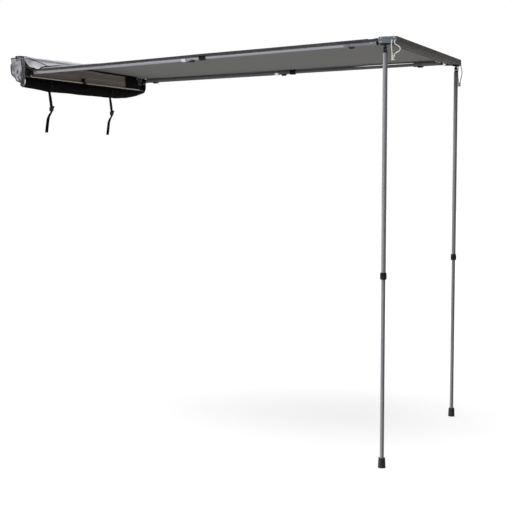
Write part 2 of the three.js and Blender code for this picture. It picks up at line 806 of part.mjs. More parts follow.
// Gives an open line in (Y, Z) a thickness, as a closed ring of points.
function thicken(spine, thickness) {
  const left = [];
  const right = [];
  spine.forEach(([y, z], i) => {
    const before = spine[Math.max(i - 1, 0)];
    const after = spine[Math.min(i + 1, spine.length - 1)];
    const along = new THREE.Vector2(after[0] - before[0], after[1] - before[1]).normalize();
    const off = new THREE.Vector2(-along.y, along.x).multiplyScalar(thickness / 2);
    left.push([y + off.x, z + off.y]);
    right.unshift([y - off.x, z - off.y]);
  });
  return [...left, ...right];
}

// Stations along the board: [share of its length from the middle, share of rise, share of drop,
// share of the drape's reach, share of its lift].
const upperFlapShares = [
  [-0.5, 0.35, 1, 1, 0.5], [-0.478, 0.5, 1, 0.9, 1.15], [-0.471, 0.55, 1, 0, 1.3],
  [-0.469, 0.55, 0, 0, 1], [-0.39, 0.55, 0, 0, 1], [-0.1, 1, 0, 0, 1], [0.25, 0.85, 0, 0, 1],
  [0.5, 0.5, 0, 0, 1],
];
// The part that lies back over the board: [share of its reach back, share of the rise].
const upperFlapBackShares = [[1, 0], [0.9, 0.3], [0.4, 1], [0, 0.5]];
const upperFlapRoundShare = 0.85;
// The front edge: [share of the drape's reach, share of its extra lift, how far it hangs where it
// doesn't drop, in thicknesses].
const upperFlapTailShares = [[0.03, 1, 1.17], [0.33, 0.9, 1.33], [1, 0.1, 1.5]];

// Upper half of the bag, thrown back over the board with its silver lining turned out. At the near
// end its front edge drops in front of the board and falls forward over the sheet's corner.
function buildUpperFlap() {
  const t = upperFlapThickness;
  const lay = boardTop + seat + t / 2;
  const front = -upperFlapFront + t / 2;
  const rings = upperFlapShares.map(([place, rise, drop, reachShare, lift]) => {
    const x = place * boardLength;
    const across = Math.max(-1, x / canopySide);
    const tail = upperFlapTailShares.map(([out, extra, hang]) => {
      const y = front - upperFlapDrape * reachShare * out;
      const under = canopyHeightAt(across, y, 1) + canopyThickness / 2 + t / 2;
      const lying = under + upperFlapLift * lift + upperFlapExtraLift * extra;
      const free = lay - t * hang;
      return [y, free + (lying - free) * drop];
    });
    const spine = [
      ...upperFlapBackShares.map(([back, up]) => [upperFlapBack * back, lay + upperFlapRise * rise * up]),
      [front * upperFlapRoundShare, lay], [front, lay - t], ...tail,
    ];
    return stationAt(x, thicken(spine, t));
  });
  piece(object, 'bag_upper_flap', loft(rings), finishes.bagSilver);
}

// Outlines of the bag's ends: [share from front to back, share of the full height from its top].
const nearBagEndShares = [
  [0.03, 0.03], [0.5, 0], [1, 0.02], [1, 0.64], [0.55, 0.83], [0.06, 1], [0.02, 0.74], [0, 0.4],
];
const farBagEndShares = [
  [0.04, 0.25], [0.3, 0.2], [0.8, 0.24], [1, 0.4], [1, 0.6], [0.75, 0.75], [0.3, 0.78], [0.04, 0.6],
];

// A soft end panel: the outline is full at the board and drawn in towards its outer face.
function buildBagEnd(name, side, shares, depth, material) {
  const start = boardEnd + 2 * seat + boardCapThickness;
  const full = bagEndTop - boardBottom + lowerFlapDepth * lowerFlapShares[0][1];
  const middleY = (bagEndBack - bagEndFront) / 2;
  const middleZ = bagEndTop - full / 2;
  const bulgeShares = [[0, 0.97], [0.55, 1], [1, 0.86]];
  const rings = bulgeShares.map(([out, size]) => {
    const points = shares.map(([back, down]) => {
      const y = -bagEndFront + (bagEndBack + bagEndFront) * back;
      const z = bagEndTop - full * down;
      return [middleY + (y - middleY) * size, middleZ + (z - middleZ) * size];
    });
    return stationAt(side * (start + depth * out), points);
  });
  piece(object, name, loft(rings), material);
}

// Route of a hanging strap in shares of its length: [along X, down, turn of its width in turns].
const strapShares = [
  [0, 0, 0], [0.05, 0.2, 0.02], [0.08, 0.36, 0], [0.08, 0.48, 0], [0, 0.56, 0.03], [-0.07, 0.66, 0.08],
  [-0.11, 0.82, 0.1], [-0.15, 1, 0.12],
];

function buildStrap(name, place) {
  const edges = [place - strapWidth / 2, place + strapWidth / 2];
  const deepest = Math.max(...edges.map(lowerFlapDepthAt));
  const top = boardBottom - 2 * seat - deepest;
  const rings = strapShares.map(([x, down, turn]) => {
    const angle = turn * 2 * Math.PI;
    const wide = new THREE.Vector3(Math.cos(angle), Math.sin(angle), 0).multiplyScalar(strapWidth / 2);
    const thick = new THREE.Vector3(-Math.sin(angle), Math.cos(angle), 0).multiplyScalar(strapThickness / 2);
    const centre = new THREE.Vector3(place + x * strapLength, -strapReach, top - down * strapLength);
    return [
      centre.clone().add(wide).add(thick), centre.clone().sub(wide).add(thick),
      centre.clone().sub(wide).sub(thick), centre.clone().add(wide).sub(thick),
    ];
  });
  piece(object, `${name}_strap`, loft(rings), finishes.webbing);

  const [x, down] = strapShares[2];
  const [, downAfter] = strapShares[3];
  const height = top - ((down + downAfter) / 2) * strapLength;
  const bodyX = place + x * strapLength;
  const wall = buckleWidth / 2;
  const frame = block(
    bodyX - wall, bodyX + wall, -strapReach - buckleDepth / 2, -strapReach + buckleDepth / 2,
    height - buckleHeight / 2, height + buckleHeight / 2,
  );
  const slot = block(
    bodyX - strapWidth / 2 - fit, bodyX + strapWidth / 2 + fit,
    -strapReach - strapThickness / 2 - fit, -strapReach + strapThickness / 2 + fit,
    height - buckleHeight, height + buckleHeight,
  );
  const prong = block(0, buckleProngThickness, -strapWidth / 4, strapWidth / 4, -overrun, buckleProng);
  prong.rotateY(Math.PI / 6).translate(bodyX + wall - buckleProngThickness, -strapReach, height);
  const clear = block(
    bodyX - strapWidth / 2 - fit, bodyX + strapWidth / 2 + fit, -strapReach - buckleDepth,
    -strapReach + buckleDepth, height + buckleHeight / 2, height + 2 * buckleHeight,
  );
  piece(object, `${name}_buckle`, join(cut(frame, slot), cut(prong, clear, slot)), finishes.blackPlastic);
}

// A cradle on the board's face that the near arm folds into.
function buildArmRest() {
  const hingeX = -(beamEnd - armInset);
  const x = -restPlace;
  const height = nearHingeHeight - nearHingeLean * (x - hingeX);
  const room = armTubeRadius + restFit;
  const outer = room + restWall;
  const back = boardFace - seat;
  const mouth = -armHingeReach;
  const body = block(x - restWidth / 2, x + restWidth / 2, mouth, back, height - outer, height + outer);
  const hollow = block(
    x - restWidth, x + restWidth, mouth - overrun, mouth + room, height - room, height + room,
  );
  const lipRoom = block(
    x - restWidth, x + restWidth, boardFace - lipReach - seat, back + overrun,
    height - outer - overrun, boardBottom + lipHeight + seat,
  );
  piece(object, 'arm_rest', cut(body, hollow, lipRoom), finishes.blackPlastic);
}

// A knot's outline: [share of its radius, share of its height down].
const knotShares = [[0, 1], [1, 1], [0.6, 0.5], [0.9, 0.2], [0.8, 0], [0, 0]];

// The two strands of a guy rope hang from the end plate to one knot. Points are
// [out from the plate, back from the beam's face, down from its top].
const nearRopeKnot = [15, 11, 89];
const nearRopeInner = [
  [0, 19, 18], [4, 19, 18], [8.2, 19, 18.8], [11.8, 19, 21.2], [14.2, 19, 24.8], [15, 19, 29],
  [15, 19.6, 38], [15, 19.4, 50], [15, 18.3, 62], [15, 17, 73], [15, 16.2, 81], [15, 16, 88.5],
];
const nearRopeOuter = [
  [0, 5, 18], [4, 5, 18], [8.2, 5, 18.8], [11.8, 5, 21.2], [14.2, 5, 24.8], [15, 5, 29],
  [15, 4.2, 33.4], [15, 2, 37.4], [15, -1.1, 40], [15, -8, 44.3], [15, -14.9, 48.7],
  [15, -18, 51.3], [15, -20.2, 55.3], [15, -21, 59.7], [15, -20, 64.6], [15, -17.3, 68.7],
  [15, -13.5, 71.5], [15, -7.2, 74.5], [15, -0.9, 77.4], [15, 2.6, 80], [15, 5.1, 83.8],
  [15, 6, 88.5],
];
const farRopeKnot = [15, 13, 123];
const farRopeInner = [
  [0, 19, 18], [4, 19, 18], [8.2, 19, 18.8], [11.8, 19, 21.2], [14.2, 19, 24.8], [15, 19, 29],
  [15, 19.8, 41], [15, 21, 57], [15, 21.6, 75], [15, 20.4, 95], [15, 18.6, 111], [15, 18, 122.5],
];
const farRopeOuter = [
  [0, 5, 18], [4, 5, 18], [8.2, 5, 18.8], [11.8, 5, 21.2], [14.2, 5, 24.8], [15, 5, 29],
  [15, 3.4, 39], [15, 0.6, 50], [15, -1, 64], [15, -0.4, 80], [15, 2.8, 96], [15, 6.4, 109],
  [15, 8, 122.5],
];

function buildRope(name, side, knotTop, strands) {
  const start = beamEnd + 2 * seat + endPlateThickness;
  const place = ([out, back, down]) => new THREE.Vector3(
    side * (start + out), beamOuter + back, beamTop - down,
  );
  const section = outline(arc(0, 0, ropeRadius, 0, 2 * Math.PI, ropeSides).slice(1));
  Object.entries(strands).forEach(([strand, points]) => {
    const route = new THREE.CatmullRomCurve3(points.map(place));
    const settings = { extrudePath: route, steps: ropeSteps, bevelEnabled: false };
    const rope = new THREE.ExtrudeGeometry(section, settings);
    piece(object, `${name}_rope_${strand}`, rope, finishes.ropeWhite);
  });
  const profile = knotShares.map(([out, down]) => [knotRadius * out, -knotHeight * down]);
  const knot = upright(turned(profile, pinSides));
  const at = place(knotTop);
  piece(object, `${name}_rope_knot`, knot.translate(at.x, at.y, at.z), finishes.ropeWhite);
}

const nearArm = armFrame(-1, nearHingeHeight, nearTipHeight, nearHingeLean);
const farArm = armFrame(1, farHingeHeight, farTipHeight, farHingeLean);

buildBackboard();
buildArmBracket('near', nearArm);
buildArmBracket('far', farArm);
buildArmRest();
buildArm('near', nearArm, nearFlangeAbove);
buildArm('far', farArm, farFlangeAbove);
buildBeam();
buildBeamEnd('near', -1, reach - nearLegSetback);
buildBeamEnd('far', 1, reach - farLegSetback);
buildLeg('near', -1, reach - nearLegSetback);
buildLeg('far', 1, reach - farLegSetback);
buildCanopy();
buildLowerFlap();
buildUpperFlap();
buildBagEnd('bag_near_end', -1, nearBagEndShares, nearBagEndDepth, finishes.bagSilver);
buildBagEnd('bag_far_end', 1, farBagEndShares, farBagEndDepth, finishes.bagBlack);
buildStrap('near', nearStrapPlace);
buildStrap('far', farStrapPlace);
buildRope('near', -1, nearRopeKnot, { inner: nearRopeInner, outer: nearRopeOuter });
buildRope('far', 1, farRopeKnot, { inner: farRopeInner, outer: farRopeOuter });

export default object;
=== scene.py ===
import json
import math

import bmesh
import bpy
import numpy as np
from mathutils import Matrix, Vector


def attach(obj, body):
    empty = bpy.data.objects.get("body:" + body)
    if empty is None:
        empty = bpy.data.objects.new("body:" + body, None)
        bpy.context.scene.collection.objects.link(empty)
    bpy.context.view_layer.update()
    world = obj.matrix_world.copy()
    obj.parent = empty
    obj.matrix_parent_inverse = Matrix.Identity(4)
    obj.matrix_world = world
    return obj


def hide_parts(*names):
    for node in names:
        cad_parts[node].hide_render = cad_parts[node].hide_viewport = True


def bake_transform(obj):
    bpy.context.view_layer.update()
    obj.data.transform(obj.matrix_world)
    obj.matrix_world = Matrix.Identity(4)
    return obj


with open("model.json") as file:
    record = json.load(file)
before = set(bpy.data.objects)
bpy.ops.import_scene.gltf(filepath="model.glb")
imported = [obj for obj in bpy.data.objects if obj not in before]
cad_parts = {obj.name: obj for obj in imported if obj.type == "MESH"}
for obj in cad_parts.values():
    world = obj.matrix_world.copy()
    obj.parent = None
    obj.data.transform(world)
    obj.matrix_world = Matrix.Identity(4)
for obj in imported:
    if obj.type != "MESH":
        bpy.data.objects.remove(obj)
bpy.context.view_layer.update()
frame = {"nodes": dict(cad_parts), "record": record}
nodes = frame["nodes"]


# The camera stands where the photograph was taken from, and looks along the yaw and pitch.
camera = {"place": (-5.70, -3.47, -0.507), "yaw": 22.87, "pitch": -4.5, "lens": 80.86, "sensor": 36.0,
          "sight": 200}


def makeCamera():
    # Turned from straight down to level, tipped by the pitch, then turned by the yaw less a quarter turn.
    data = bpy.data.cameras.new("camera")
    data.lens, data.sensor_width, data.clip_end = camera["lens"], camera["sensor"], camera["sight"]
    made = bpy.data.objects.new("camera", data)
    bpy.context.scene.collection.objects.link(made)
    made.location = camera["place"]
    made.rotation_euler = math.radians(90 + camera["pitch"]), 0, math.radians(camera["yaw"] - 90)
    bpy.context.scene.camera = made


makeCamera()
ends = (("near", -1), ("far", 1))  # the two ends of the object, with the sign of their X


# Mesh helpers. A shape is a grid of points, rows by columns.
def unit(vectors):
    # Each vector over its length.
    return vectors / np.maximum(np.linalg.norm(vectors, axis=-1, keepdims=True), 1e-12)


def smoothLine(points, count):
    # Catmull-Rom: each span is the cubic that leaves its two ends along the line between their neighbours.
    p = np.asarray(points, float)
    p = np.concatenate([2 * p[:1] - p[1:2], p, 2 * p[-1:] - p[-2:-1]])
    t = np.linspace(0, len(points) - 1 - 1e-9, count)
    i = t.astype(int)
    f = (t - i).reshape(-1, *[1] * (p.ndim - 1))
    a, b, c, d = p[i], p[i + 1], p[i + 2], p[i + 3]
    return 0.5 * (
        2 * b + (c - a) * f + (2 * a - 5 * b + 4 * c - d) * f**2 + (3 * b - a - 3 * c + d) * f**3
    )


def smoothStep(low, high, value):
    # 0 below low, 1 above high, and 3t^2 - 2t^3 between them.
    t = np.clip((np.asarray(value, float) - low) / (high - low), 0, 1)
    return t * t * (3 - 2 * t)


def gridFaces(rows, cols, closed=False):
    # Quad (i, j) joins a point with the next one along each way; a closed grid wraps its columns.
    i = np.arange(rows - 1)[:, None]
    j = np.arange(cols if closed else cols - 1)[None, :]
    k = (j + 1) % cols
    return np.stack([i * cols + j, i * cols + k, (i + 1) * cols + k, (i + 1) * cols + j], -1).reshape(-1, 4)


def cornerUv(u, v):
    # The four corners of each quad in the order of gridFaces; a closed grid has one more column of values.
    uv = np.stack(np.broadcast_arrays(u, v), -1)
    return np.stack([uv[:-1, :-1], uv[:-1, 1:], uv[1:, 1:], uv[1:, :-1]], 2).reshape(-1, 2)


def arcLength(points, axis=0):
    # Running sum of the distances between neighbours.
    step = np.linalg.norm(np.diff(points, axis=axis), axis=-1)
    zero = np.zeros_like(np.take(step, [0], axis=axis))
    return np.concatenate([zero, np.cumsum(step, axis=axis)], axis=axis)


def evenly(points, count):
    # Points at equal steps of the line's length.
    run = arcLength(points)
    even = np.linspace(0, run[-1], count)
    return np.stack([np.interp(even, run, column) for column in points.T], -1)


def normalsOf(points):
    # Cross product of the grid's two slopes, at unit length.
    return unit(np.cross(np.gradient(points, axis=1), np.gradient(points, axis=0)))


def gridArea(points):
    # Sum over the quads of half the length of the cross product of their diagonals.
    a = points[1:, 1:] - points[:-1, :-1]
    b = points[1:, :-1] - points[:-1, 1:]
    return float(np.linalg.norm(np.cross(a, b), axis=-1).sum() / 2)


def carried(section, path, side, over):
    # Each point of the path plus the section's first number along side and its second along over.
    return path[:, None] + (section[None, :, :1] * side[:, None] + section[None, :, 1:] * over[:, None])


def sweep(section, path, up):
    # The section stands in the plane across the path: side = tangent x up, over = side x tangent.
    tangent = unit(np.gradient(path, axis=0))
    side = unit(np.cross(tangent, np.asarray(up, float)))
    return carried(section, path, side, np.cross(side, tangent))


def circle(radius, sides):
    # Points at equal angles.
    a = np.arange(sides) * 2 * np.pi / sides
    return radius * np.stack([np.cos(a), np.sin(a)], -1)


def closeEnds(points):
    # A last ring at each end, shrunk onto its centre, closes the form.
    first, last = points[:1].mean(1, keepdims=True), points[-1:].mean(1, keepdims=True)
    return np.concatenate([0 * points[:1] + first, points, 0 * points[:1] + last])


def turn(profile, sides, centre, axis, ripple=None):
    # (radius, along) pairs turned about the axis; ripple(angle, share along) scales the radius.
    profile, axis = np.asarray(profile, float), unit(np.asarray(axis, float))
    guide = np.array([1.0, 0, 0]) if abs(axis[0]) < 0.9 else np.array([0, 1.0, 0])
    first = unit(np.cross(axis, guide))
    second = np.cross(axis, first)
    a = np.arange(sides)[None, :] * 2 * np.pi / sides
    radius = profile[:, :1] * np.ones((1, sides))
    if ripple:
        share = arcLength(profile)[:, None]
        radius = radius * ripple(a, share / share[-1])
    out = np.cos(a)[..., None] * first + np.sin(a)[..., None] * second
    return np.asarray(centre, float) + radius[..., None] * out + profile[:, 1][:, None, None] * axis


def buildObject(name, points, faces, slotNames, uv=None):
    mesh = bpy.data.meshes.new(name)
    mesh.from_pydata(np.asarray(points, float).reshape(-1, 3).tolist(), [], np.asarray(faces).tolist())
    if uv is not None:
        mesh.uv_layers.new(name="cloth").data.foreach_set("uv", np.asarray(uv, np.float32).ravel())
    for slotName in slotNames:
        mesh.materials.append(finishes[slotName])
    made = bpy.data.objects.new(name, mesh)
    bpy.context.scene.collection.objects.link(made)
    return made


def buildGrid(name, points, slotNames, u=None, v=None, closed=False, flipped=False):
    # The quads of the grid; closed wraps its columns, and flipped turns its faces over.
    faces = gridFaces(*points.shape[:2], closed)
    uv = None if u is None else cornerUv(u, v)
    if flipped:
        faces, uv = faces[:, ::-1], uv.reshape(-1, 4, 2)[:, ::-1]
    return buildObject(name, points, faces, slotNames, uv)


def buildTube(name, path, radius, sides, up, girth, slotName):
    # A circle carried along the path; U runs round it up to the girth, and V is the length in metres.
    run = arcLength(path)
    v = np.concatenate([run[:1], run, run[-1:]])[:, None]
    u = np.linspace(0, girth, sides + 1)[None, :]
    return buildGrid(name, closeEnds(sweep(circle(radius, sides), path, up)), [slotName], u, v, True)


def tidyMesh(made):
    # Merges doubled points and turns every face of the closed form outwards.
    form = bmesh.new()
    form.from_mesh(made.data)
    bmesh.ops.remove_doubles(form, verts=form.verts, dist=1e-6)
    bmesh.ops.recalc_face_normals(form, faces=form.faces)
    form.to_mesh(made.data)
    form.free()


def place(tree, kind, wires=None, **settings):
    # A node; wires are an input's name or place, each with a value or another node's socket.
    made = tree.nodes.new(kind)
    for key, value in settings.items():
        setattr(made, key, value)
    for key, value in (wires or {}).items():
        if isinstance(value, bpy.types.NodeSocket):
            tree.links.new(value, made.inputs[key])
        else:
            made.inputs[key].default_value = value
    return made


def makeSmoothing():
    # Welds the mesh, and shades it smooth except at edges sharper than 32 degrees.
    tree = bpy.data.node_groups.new("smoothByAngle", "GeometryNodeTree")
    for way in ("INPUT", "OUTPUT"):
        tree.interface.new_socket("Geometry", in_out=way, socket_type="NodeSocketGeometry")
    given = tree.nodes.new("NodeGroupInput").outputs[0]
    weld = place(tree, "GeometryNodeMergeByDistance", {"Geometry": given, "Distance": 1e-5}).outputs[0]
    angle = tree.nodes.new("GeometryNodeInputMeshEdgeAngle").outputs["Unsigned Angle"]
    wires = {0: angle, 1: math.radians(32)}
    sharp = place(tree, "FunctionNodeCompare", wires, data_type="FLOAT", operation="GREATER_THAN").outputs[0]
    smooth = place(tree, "GeometryNodeSetShadeSmooth", {"Geometry": weld}, domain="FACE").outputs[0]
    wires = {"Geometry": smooth, "Selection": sharp, "Shade Smooth": False}
    hard = place(tree, "GeometryNodeSetShadeSmooth", wires, domain="EDGE").outputs[0]
    place(tree, "NodeGroupOutput", {0: hard})
    return tree


smoothing = makeSmoothing()


def addModifier(made, kind, **settings):
    modifier = made.modifiers.new(kind.lower(), kind)
    for key, value in settings.items():
        setattr(modifier, key, value)


def thicken(made, thick, rounded=0.0, **settings):
    # The grid becomes the middle of the cloth; a bevel rounds its edges where a width is given for it.
    addModifier(made, "SOLIDIFY", thickness=thick, offset=0, **settings)
    if rounded:
        addModifier(made, "BEVEL", width=rounded, segments=2)


def settle(made, body, replaced=()):
    # What every piece on one body needs: smooth shading, its body, and its CAD nodes hidden.
    addModifier(made, "NODES", node_group=smoothing)
    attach(made, body)
    if replaced:
        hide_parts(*replaced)
    return made


def settleSolid(made, body, replaced=()):
    # The same for a closed form, whose mesh is cleaned first.
    tidyMesh(made)
    return settle(made, body, replaced)


# Shader helpers.
def calc(tree, operation, a, b=0.0):
    return place(tree, "ShaderNodeMath", {0: a, 1: b}, operation=operation).outputs[0]


def plus(tree, a, b):
    return calc(tree, "ADD", a, b)


def times(tree, a, b):
    return calc(tree, "MULTIPLY", a, b)


def onVector(tree, operation, a, b, key=1):
    return place(tree, "ShaderNodeVectorMath", {0: a, key: b}, operation=operation).outputs[0]


def ranged(tree, value, low, high, toLow=0.0, toHigh=1.0):
    wires = {"Value": value, "From Min": low, "From Max": high, "To Min": toLow, "To Max": toHigh}
    return place(tree, "ShaderNodeMapRange", wires, interpolation_type="SMOOTHSTEP").outputs[0]


def mixed(tree, share, a, b):
    return place(tree, "ShaderNodeMix", {0: share, 6: a, 7: b}, data_type="RGBA").outputs[2]


def splitOf(tree, vector):
    return place(tree, "ShaderNodeSeparateXYZ", {0: vector}).outputs


def noise(tree, at, scale, **wires):
    return place(tree, "ShaderNodeTexNoise", {"Vector": at, "Scale": scale, **wires}).outputs


def cells(tree, at, scale, feature="F1"):
    wires = {"Vector": at, "Scale": scale}
    return place(tree, "ShaderNodeTexVoronoi", wires, feature=feature).outputs["Distance"]


def bentBy(tree, at, cloud, share):
    # The place, moved by the noise's colour times the share.
    return onVector(tree, "ADD", at, onVector(tree, "SCALE", cloud["Color"], share, "Scale"))


def crossed(tree, ways, low):
    # |sin| of the one way's strand on odd crossings and of the other's on even ones; gaps lie below low.
    strands = [calc(tree, "ABSOLUTE", calc(tree, "SINE", times(tree, way, math.pi))) for way in ways]
    crossing = plus(tree, *[calc(tree, "FLOOR", way) for way in ways])
    odd = calc(tree, "ABSOLUTE", calc(tree, "MODULO", crossing, 2.0))
    even = calc(tree, "SUBTRACT", 1.0, odd)
    height = plus(tree, times(tree, odd, strands[0]), times(tree, even, strands[1]))
    return {"Height": height, "Gap": ranged(tree, height, 0.0, low, 1.0, 0.0)}


def weaveNodes(tree, given):
    # Plain weave: the threads of the two ways cross.
    parts = splitOf(tree, onVector(tree, "SCALE", given["Vector"], given["Threads"], "Scale"))
    return crossed(tree, parts[:2], 0.45)


def braidNodes(tree, given):
    # Two sets of strands that cross: the sum and the difference of the two ways round.
    parts = splitOf(tree, given["Vector"])
    u, v = times(tree, parts[0], given["Across"]), times(tree, parts[1], given["Along"])
    return crossed(tree, [plus(tree, u, v), calc(tree, "SUBTRACT", u, v)], 0.5)


def creaseNodes(tree, given):
    # Flat facets meeting in creases: distances to scattered points at two sizes, bent by noise.
    at, scale = given["Vector"], given["Scale"]
    cloud = noise(tree, at, scale, Detail=2.0)
    bent = bentBy(tree, at, cloud, 0.03)
    finer = cells(tree, bent, times(tree, scale, 2.7))
    return {"Height": plus(tree, cells(tree, bent, scale), times(tree, finer, 0.4)), "Tone": cloud[0]}


def drawnNodes(tree, given):
    # Noise stretched along the piece, as left by the die that the metal was drawn through.
    at = onVector(tree, "MULTIPLY", given["Vector"], given["Stretch"])
    fine = noise(tree, at, given["Scale"], Detail=3.0, Roughness=0.6)[0]
    broad = noise(tree, at, times(tree, given["Scale"], 0.12))[0]
    return {"Tone": ranged(tree, plus(tree, fine, broad), 0.75, 1.25), "Height": fine}


def grainNodes(tree, given):
    # Fine moulded grain: rounded cells with noise over them.
    at, scale = given["Vector"], given["Scale"]
    cloud = noise(tree, at, times(tree, scale, 0.02), Detail=4.0)
    return {"Tone": cloud[0], "Height": cells(tree, at, scale, "SMOOTH_F1")}


def scuffNodes(tree, given):
    # Thin lines where two cells meet, kept only where a broad noise is high.
    at, scale = given["Vector"], given["Scale"]
    edge = cells(tree, bentBy(tree, at, noise(tree, at, scale), 0.02), scale, "DISTANCE_TO_EDGE")
    where = ranged(tree, noise(tree, at, times(tree, scale, 0.3))[0], 0.5, 0.65)
    return {"Mask": times(tree, times(tree, ranged(tree, edge, 0.0, 0.025, 1.0, 0.0), where), given["Amount"])}


def dustNodes(tree, given):
    # Broad patches of noise broken up by fine noise.
    at, scale = given["Vector"], given["Scale"]
    broad = ranged(tree, noise(tree, at, scale, Detail=5.0)[0], 0.42, 0.7)
    fine = ranged(tree, noise(tree, at, times(tree, scale, 60.0), Detail=2.0)[0], 0.3, 0.7)
    return {"Mask": times(tree, times(tree, broad, fine), given["Amount"])}


def stitchNodes(tree, given):
    # Dashes along V at a set distance in U: 1 inside the line's width and inside each dash.
    parts = splitOf(tree, given["Vector"])
    off = calc(tree, "ABSOLUTE", calc(tree, "SUBTRACT", parts[0], given["Place"]))
    line = calc(tree, "LESS_THAN", off, given["Width"])
    beat = calc(tree, "FRACT", calc(tree, "DIVIDE", parts[1], given["Pitch"]))
    return {"Mask": times(tree, line, calc(tree, "LESS_THAN", beat, 0.72))}


def makeGroup(name, build, **values):
    # A group with a place and the values going in, and what build returns coming out.
    group = bpy.data.node_groups.new(name, "ShaderNodeTree")
    group.interface.new_socket("Vector", in_out="INPUT", socket_type="NodeSocketVector")
    for label, value in values.items():
        kind = "NodeSocketVector" if isinstance(value, tuple) else "NodeSocketFloat"
        group.interface.new_socket(label, in_out="INPUT", socket_type=kind).default_value = value
    results = build(group, group.nodes.new("NodeGroupInput").outputs)
    for label in results:
        group.interface.new_socket(label, in_out="OUTPUT", socket_type="NodeSocketFloat")
    given = group.nodes.new("NodeGroupOutput").inputs
    for label, socket in results.items():
        group.links.new(socket, given[label])
    return group


weave = makeGroup("plainWeave", weaveNodes, Threads=1000.0)
braid = makeGroup("braid", braidNodes, Across=4.0, Along=4.0)
creases = makeGroup("creases", creaseNodes, Scale=20.0)
drawnLines = makeGroup("drawnLines", drawnNodes, Stretch=(1.0, 1.0, 1.0), Scale=400.0)
mouldedGrain = makeGroup("mouldedGrain", grainNodes, Scale=1500.0)
scuffs = makeGroup("scuffs", scuffNodes, Scale=60.0, Amount=0.5)
dust = makeGroup("dust", dustNodes, Scale=6.0, Amount=0.3)
stitches = makeGroup("stitches", stitchNodes, Place=0.004, Width=0.0007, Pitch=0.0045)
dustColour = (0.42, 0.39, 0.34, 1)


def useGroup(tree, group, at, **values):
    return place(tree, "ShaderNodeGroup", {"Vector": at, **values}, node_tree=group).outputs


def rgba(colour):
    return (*colour, 1.0)


def startMaterial(name, look):
    material = bpy.data.materials.new(name)
    material.use_nodes = True
    material.diffuse_color = rgba(look["colour"])
    tree = material.node_tree
    shader = tree.nodes["Principled BSDF"].inputs
    shader["Metallic"].default_value = look.get("metal", 0.0)
    shader["Specular IOR Level"].default_value = look.get("specular", 0.5)
    return material, tree, shader, tree.nodes.new("ShaderNodeTexCoord").outputs


def bumped(tree, height, distance, strength=1.0, **before):
    wires = {"Height": height, "Distance": distance, "Strength": strength, **before}
    return place(tree, "ShaderNodeBump", wires).outputs[0]


def dustOf(tree, at, look):
    return useGroup(tree, dust, at, Scale=look["dustScale"], Amount=look["dust"])["Mask"]


def dustOver(tree, shader, look, colour, film, tone):
    # Dust covers the colour. Roughness is the look's, half the spread either way by the tone, more in dust.
    tree.links.new(mixed(tree, film, colour, dustColour), shader["Base Color"])
    rough = plus(tree, times(tree, tone, look["spread"]), look["rough"] - look["spread"] / 2)
    tree.links.new(plus(tree, rough, times(tree, film, look["dustRough"])), shader["Roughness"])


def hardFinish(name, look):
    # Metal or plastic: a tone between dark and colour, worn lines over it, and dust that also dulls the metal.
    material, tree, shader, coordinates = startMaterial(name, look)
    at = coordinates["Object"]
    surface = useGroup(tree, look["group"], at, Scale=look["fine"], **look["values"])
    marks = useGroup(tree, scuffs, at, Scale=look["markScale"], Amount=look["marks"])["Mask"]
    film = dustOf(tree, at, look)
    tone = mixed(tree, surface["Tone"], rgba(look["dark"]), rgba(look["colour"]))
    dustOver(tree, shader, look, mixed(tree, marks, tone, rgba(look["worn"])), film, surface["Tone"])
    tree.links.new(times(tree, calc(tree, "SUBTRACT", 1.0, film), look["metal"]), shader["Metallic"])
    tree.links.new(bumped(tree, surface["Height"], look["depth"]), shader["Normal"])
    return material


def clothFinish(name, look):
    # Woven threads over broad creases, with a row of stitches where the look has one.
    material, tree, shader, coordinates = startMaterial(name, look)
    at = coordinates["UV"]
    threads = useGroup(tree, weave, at, Threads=look["threads"])
    folds = useGroup(tree, creases, at, Scale=look["creases"])
    film = dustOf(tree, at, look)
    tone = mixed(tree, folds["Tone"], rgba(look["dark"]), rgba(look["colour"]))
    woven = mixed(tree, times(tree, threads["Gap"], look["gap"]), tone, rgba(look["dark"]))
    normal = bumped(tree, folds["Height"], look["creaseDepth"], look["creaseStrength"])
    if "stitch" in look:
        sewn = useGroup(tree, stitches, at, Place=look["stitch"])["Mask"]
        woven = mixed(tree, sewn, woven, rgba(look["thread"]))
        normal = bumped(tree, sewn, 0.0006, 0.8, Normal=normal)
    dustOver(tree, shader, look, woven, film, folds["Tone"])
    shader["Sheen Weight"].default_value = look["sheen"]
    shader["Sheen Roughness"].default_value = 0.5
    tree.links.new(bumped(tree, threads["Height"], look["depth"], 0.7, Normal=normal), shader["Normal"])
    return material


def ropeFinish(name, look):
    # Braided strands, dark in the gaps between them.
    material, tree, shader, coordinates = startMaterial(name, look)
    strands = useGroup(tree, braid, coordinates["UV"], Across=look["across"], Along=look["along"])
    film = dustOf(tree, coordinates["Object"], look)
    tone = mixed(tree, times(tree, strands["Gap"], look["gap"]), rgba(look["colour"]), rgba(look["dark"]))
    tree.links.new(mixed(tree, film, tone, dustColour), shader["Base Color"])
    shader["Roughness"].default_value = look["rough"]
    shader["Sheen Weight"].default_value = look["sheen"]
    tree.links.new(bumped(tree, strands["Height"], look["depth"]), shader["Normal"])
    return material


# Finishes, one for each of the record's slots and a few of the scene's own, over the plain look of their kind.
def stretched(along):
    # The noise is drawn out fifty times along one axis, or not at all.
    return {"Stretch": tuple(0.02 if axis == along else 1.0 for axis in "XYZ")}


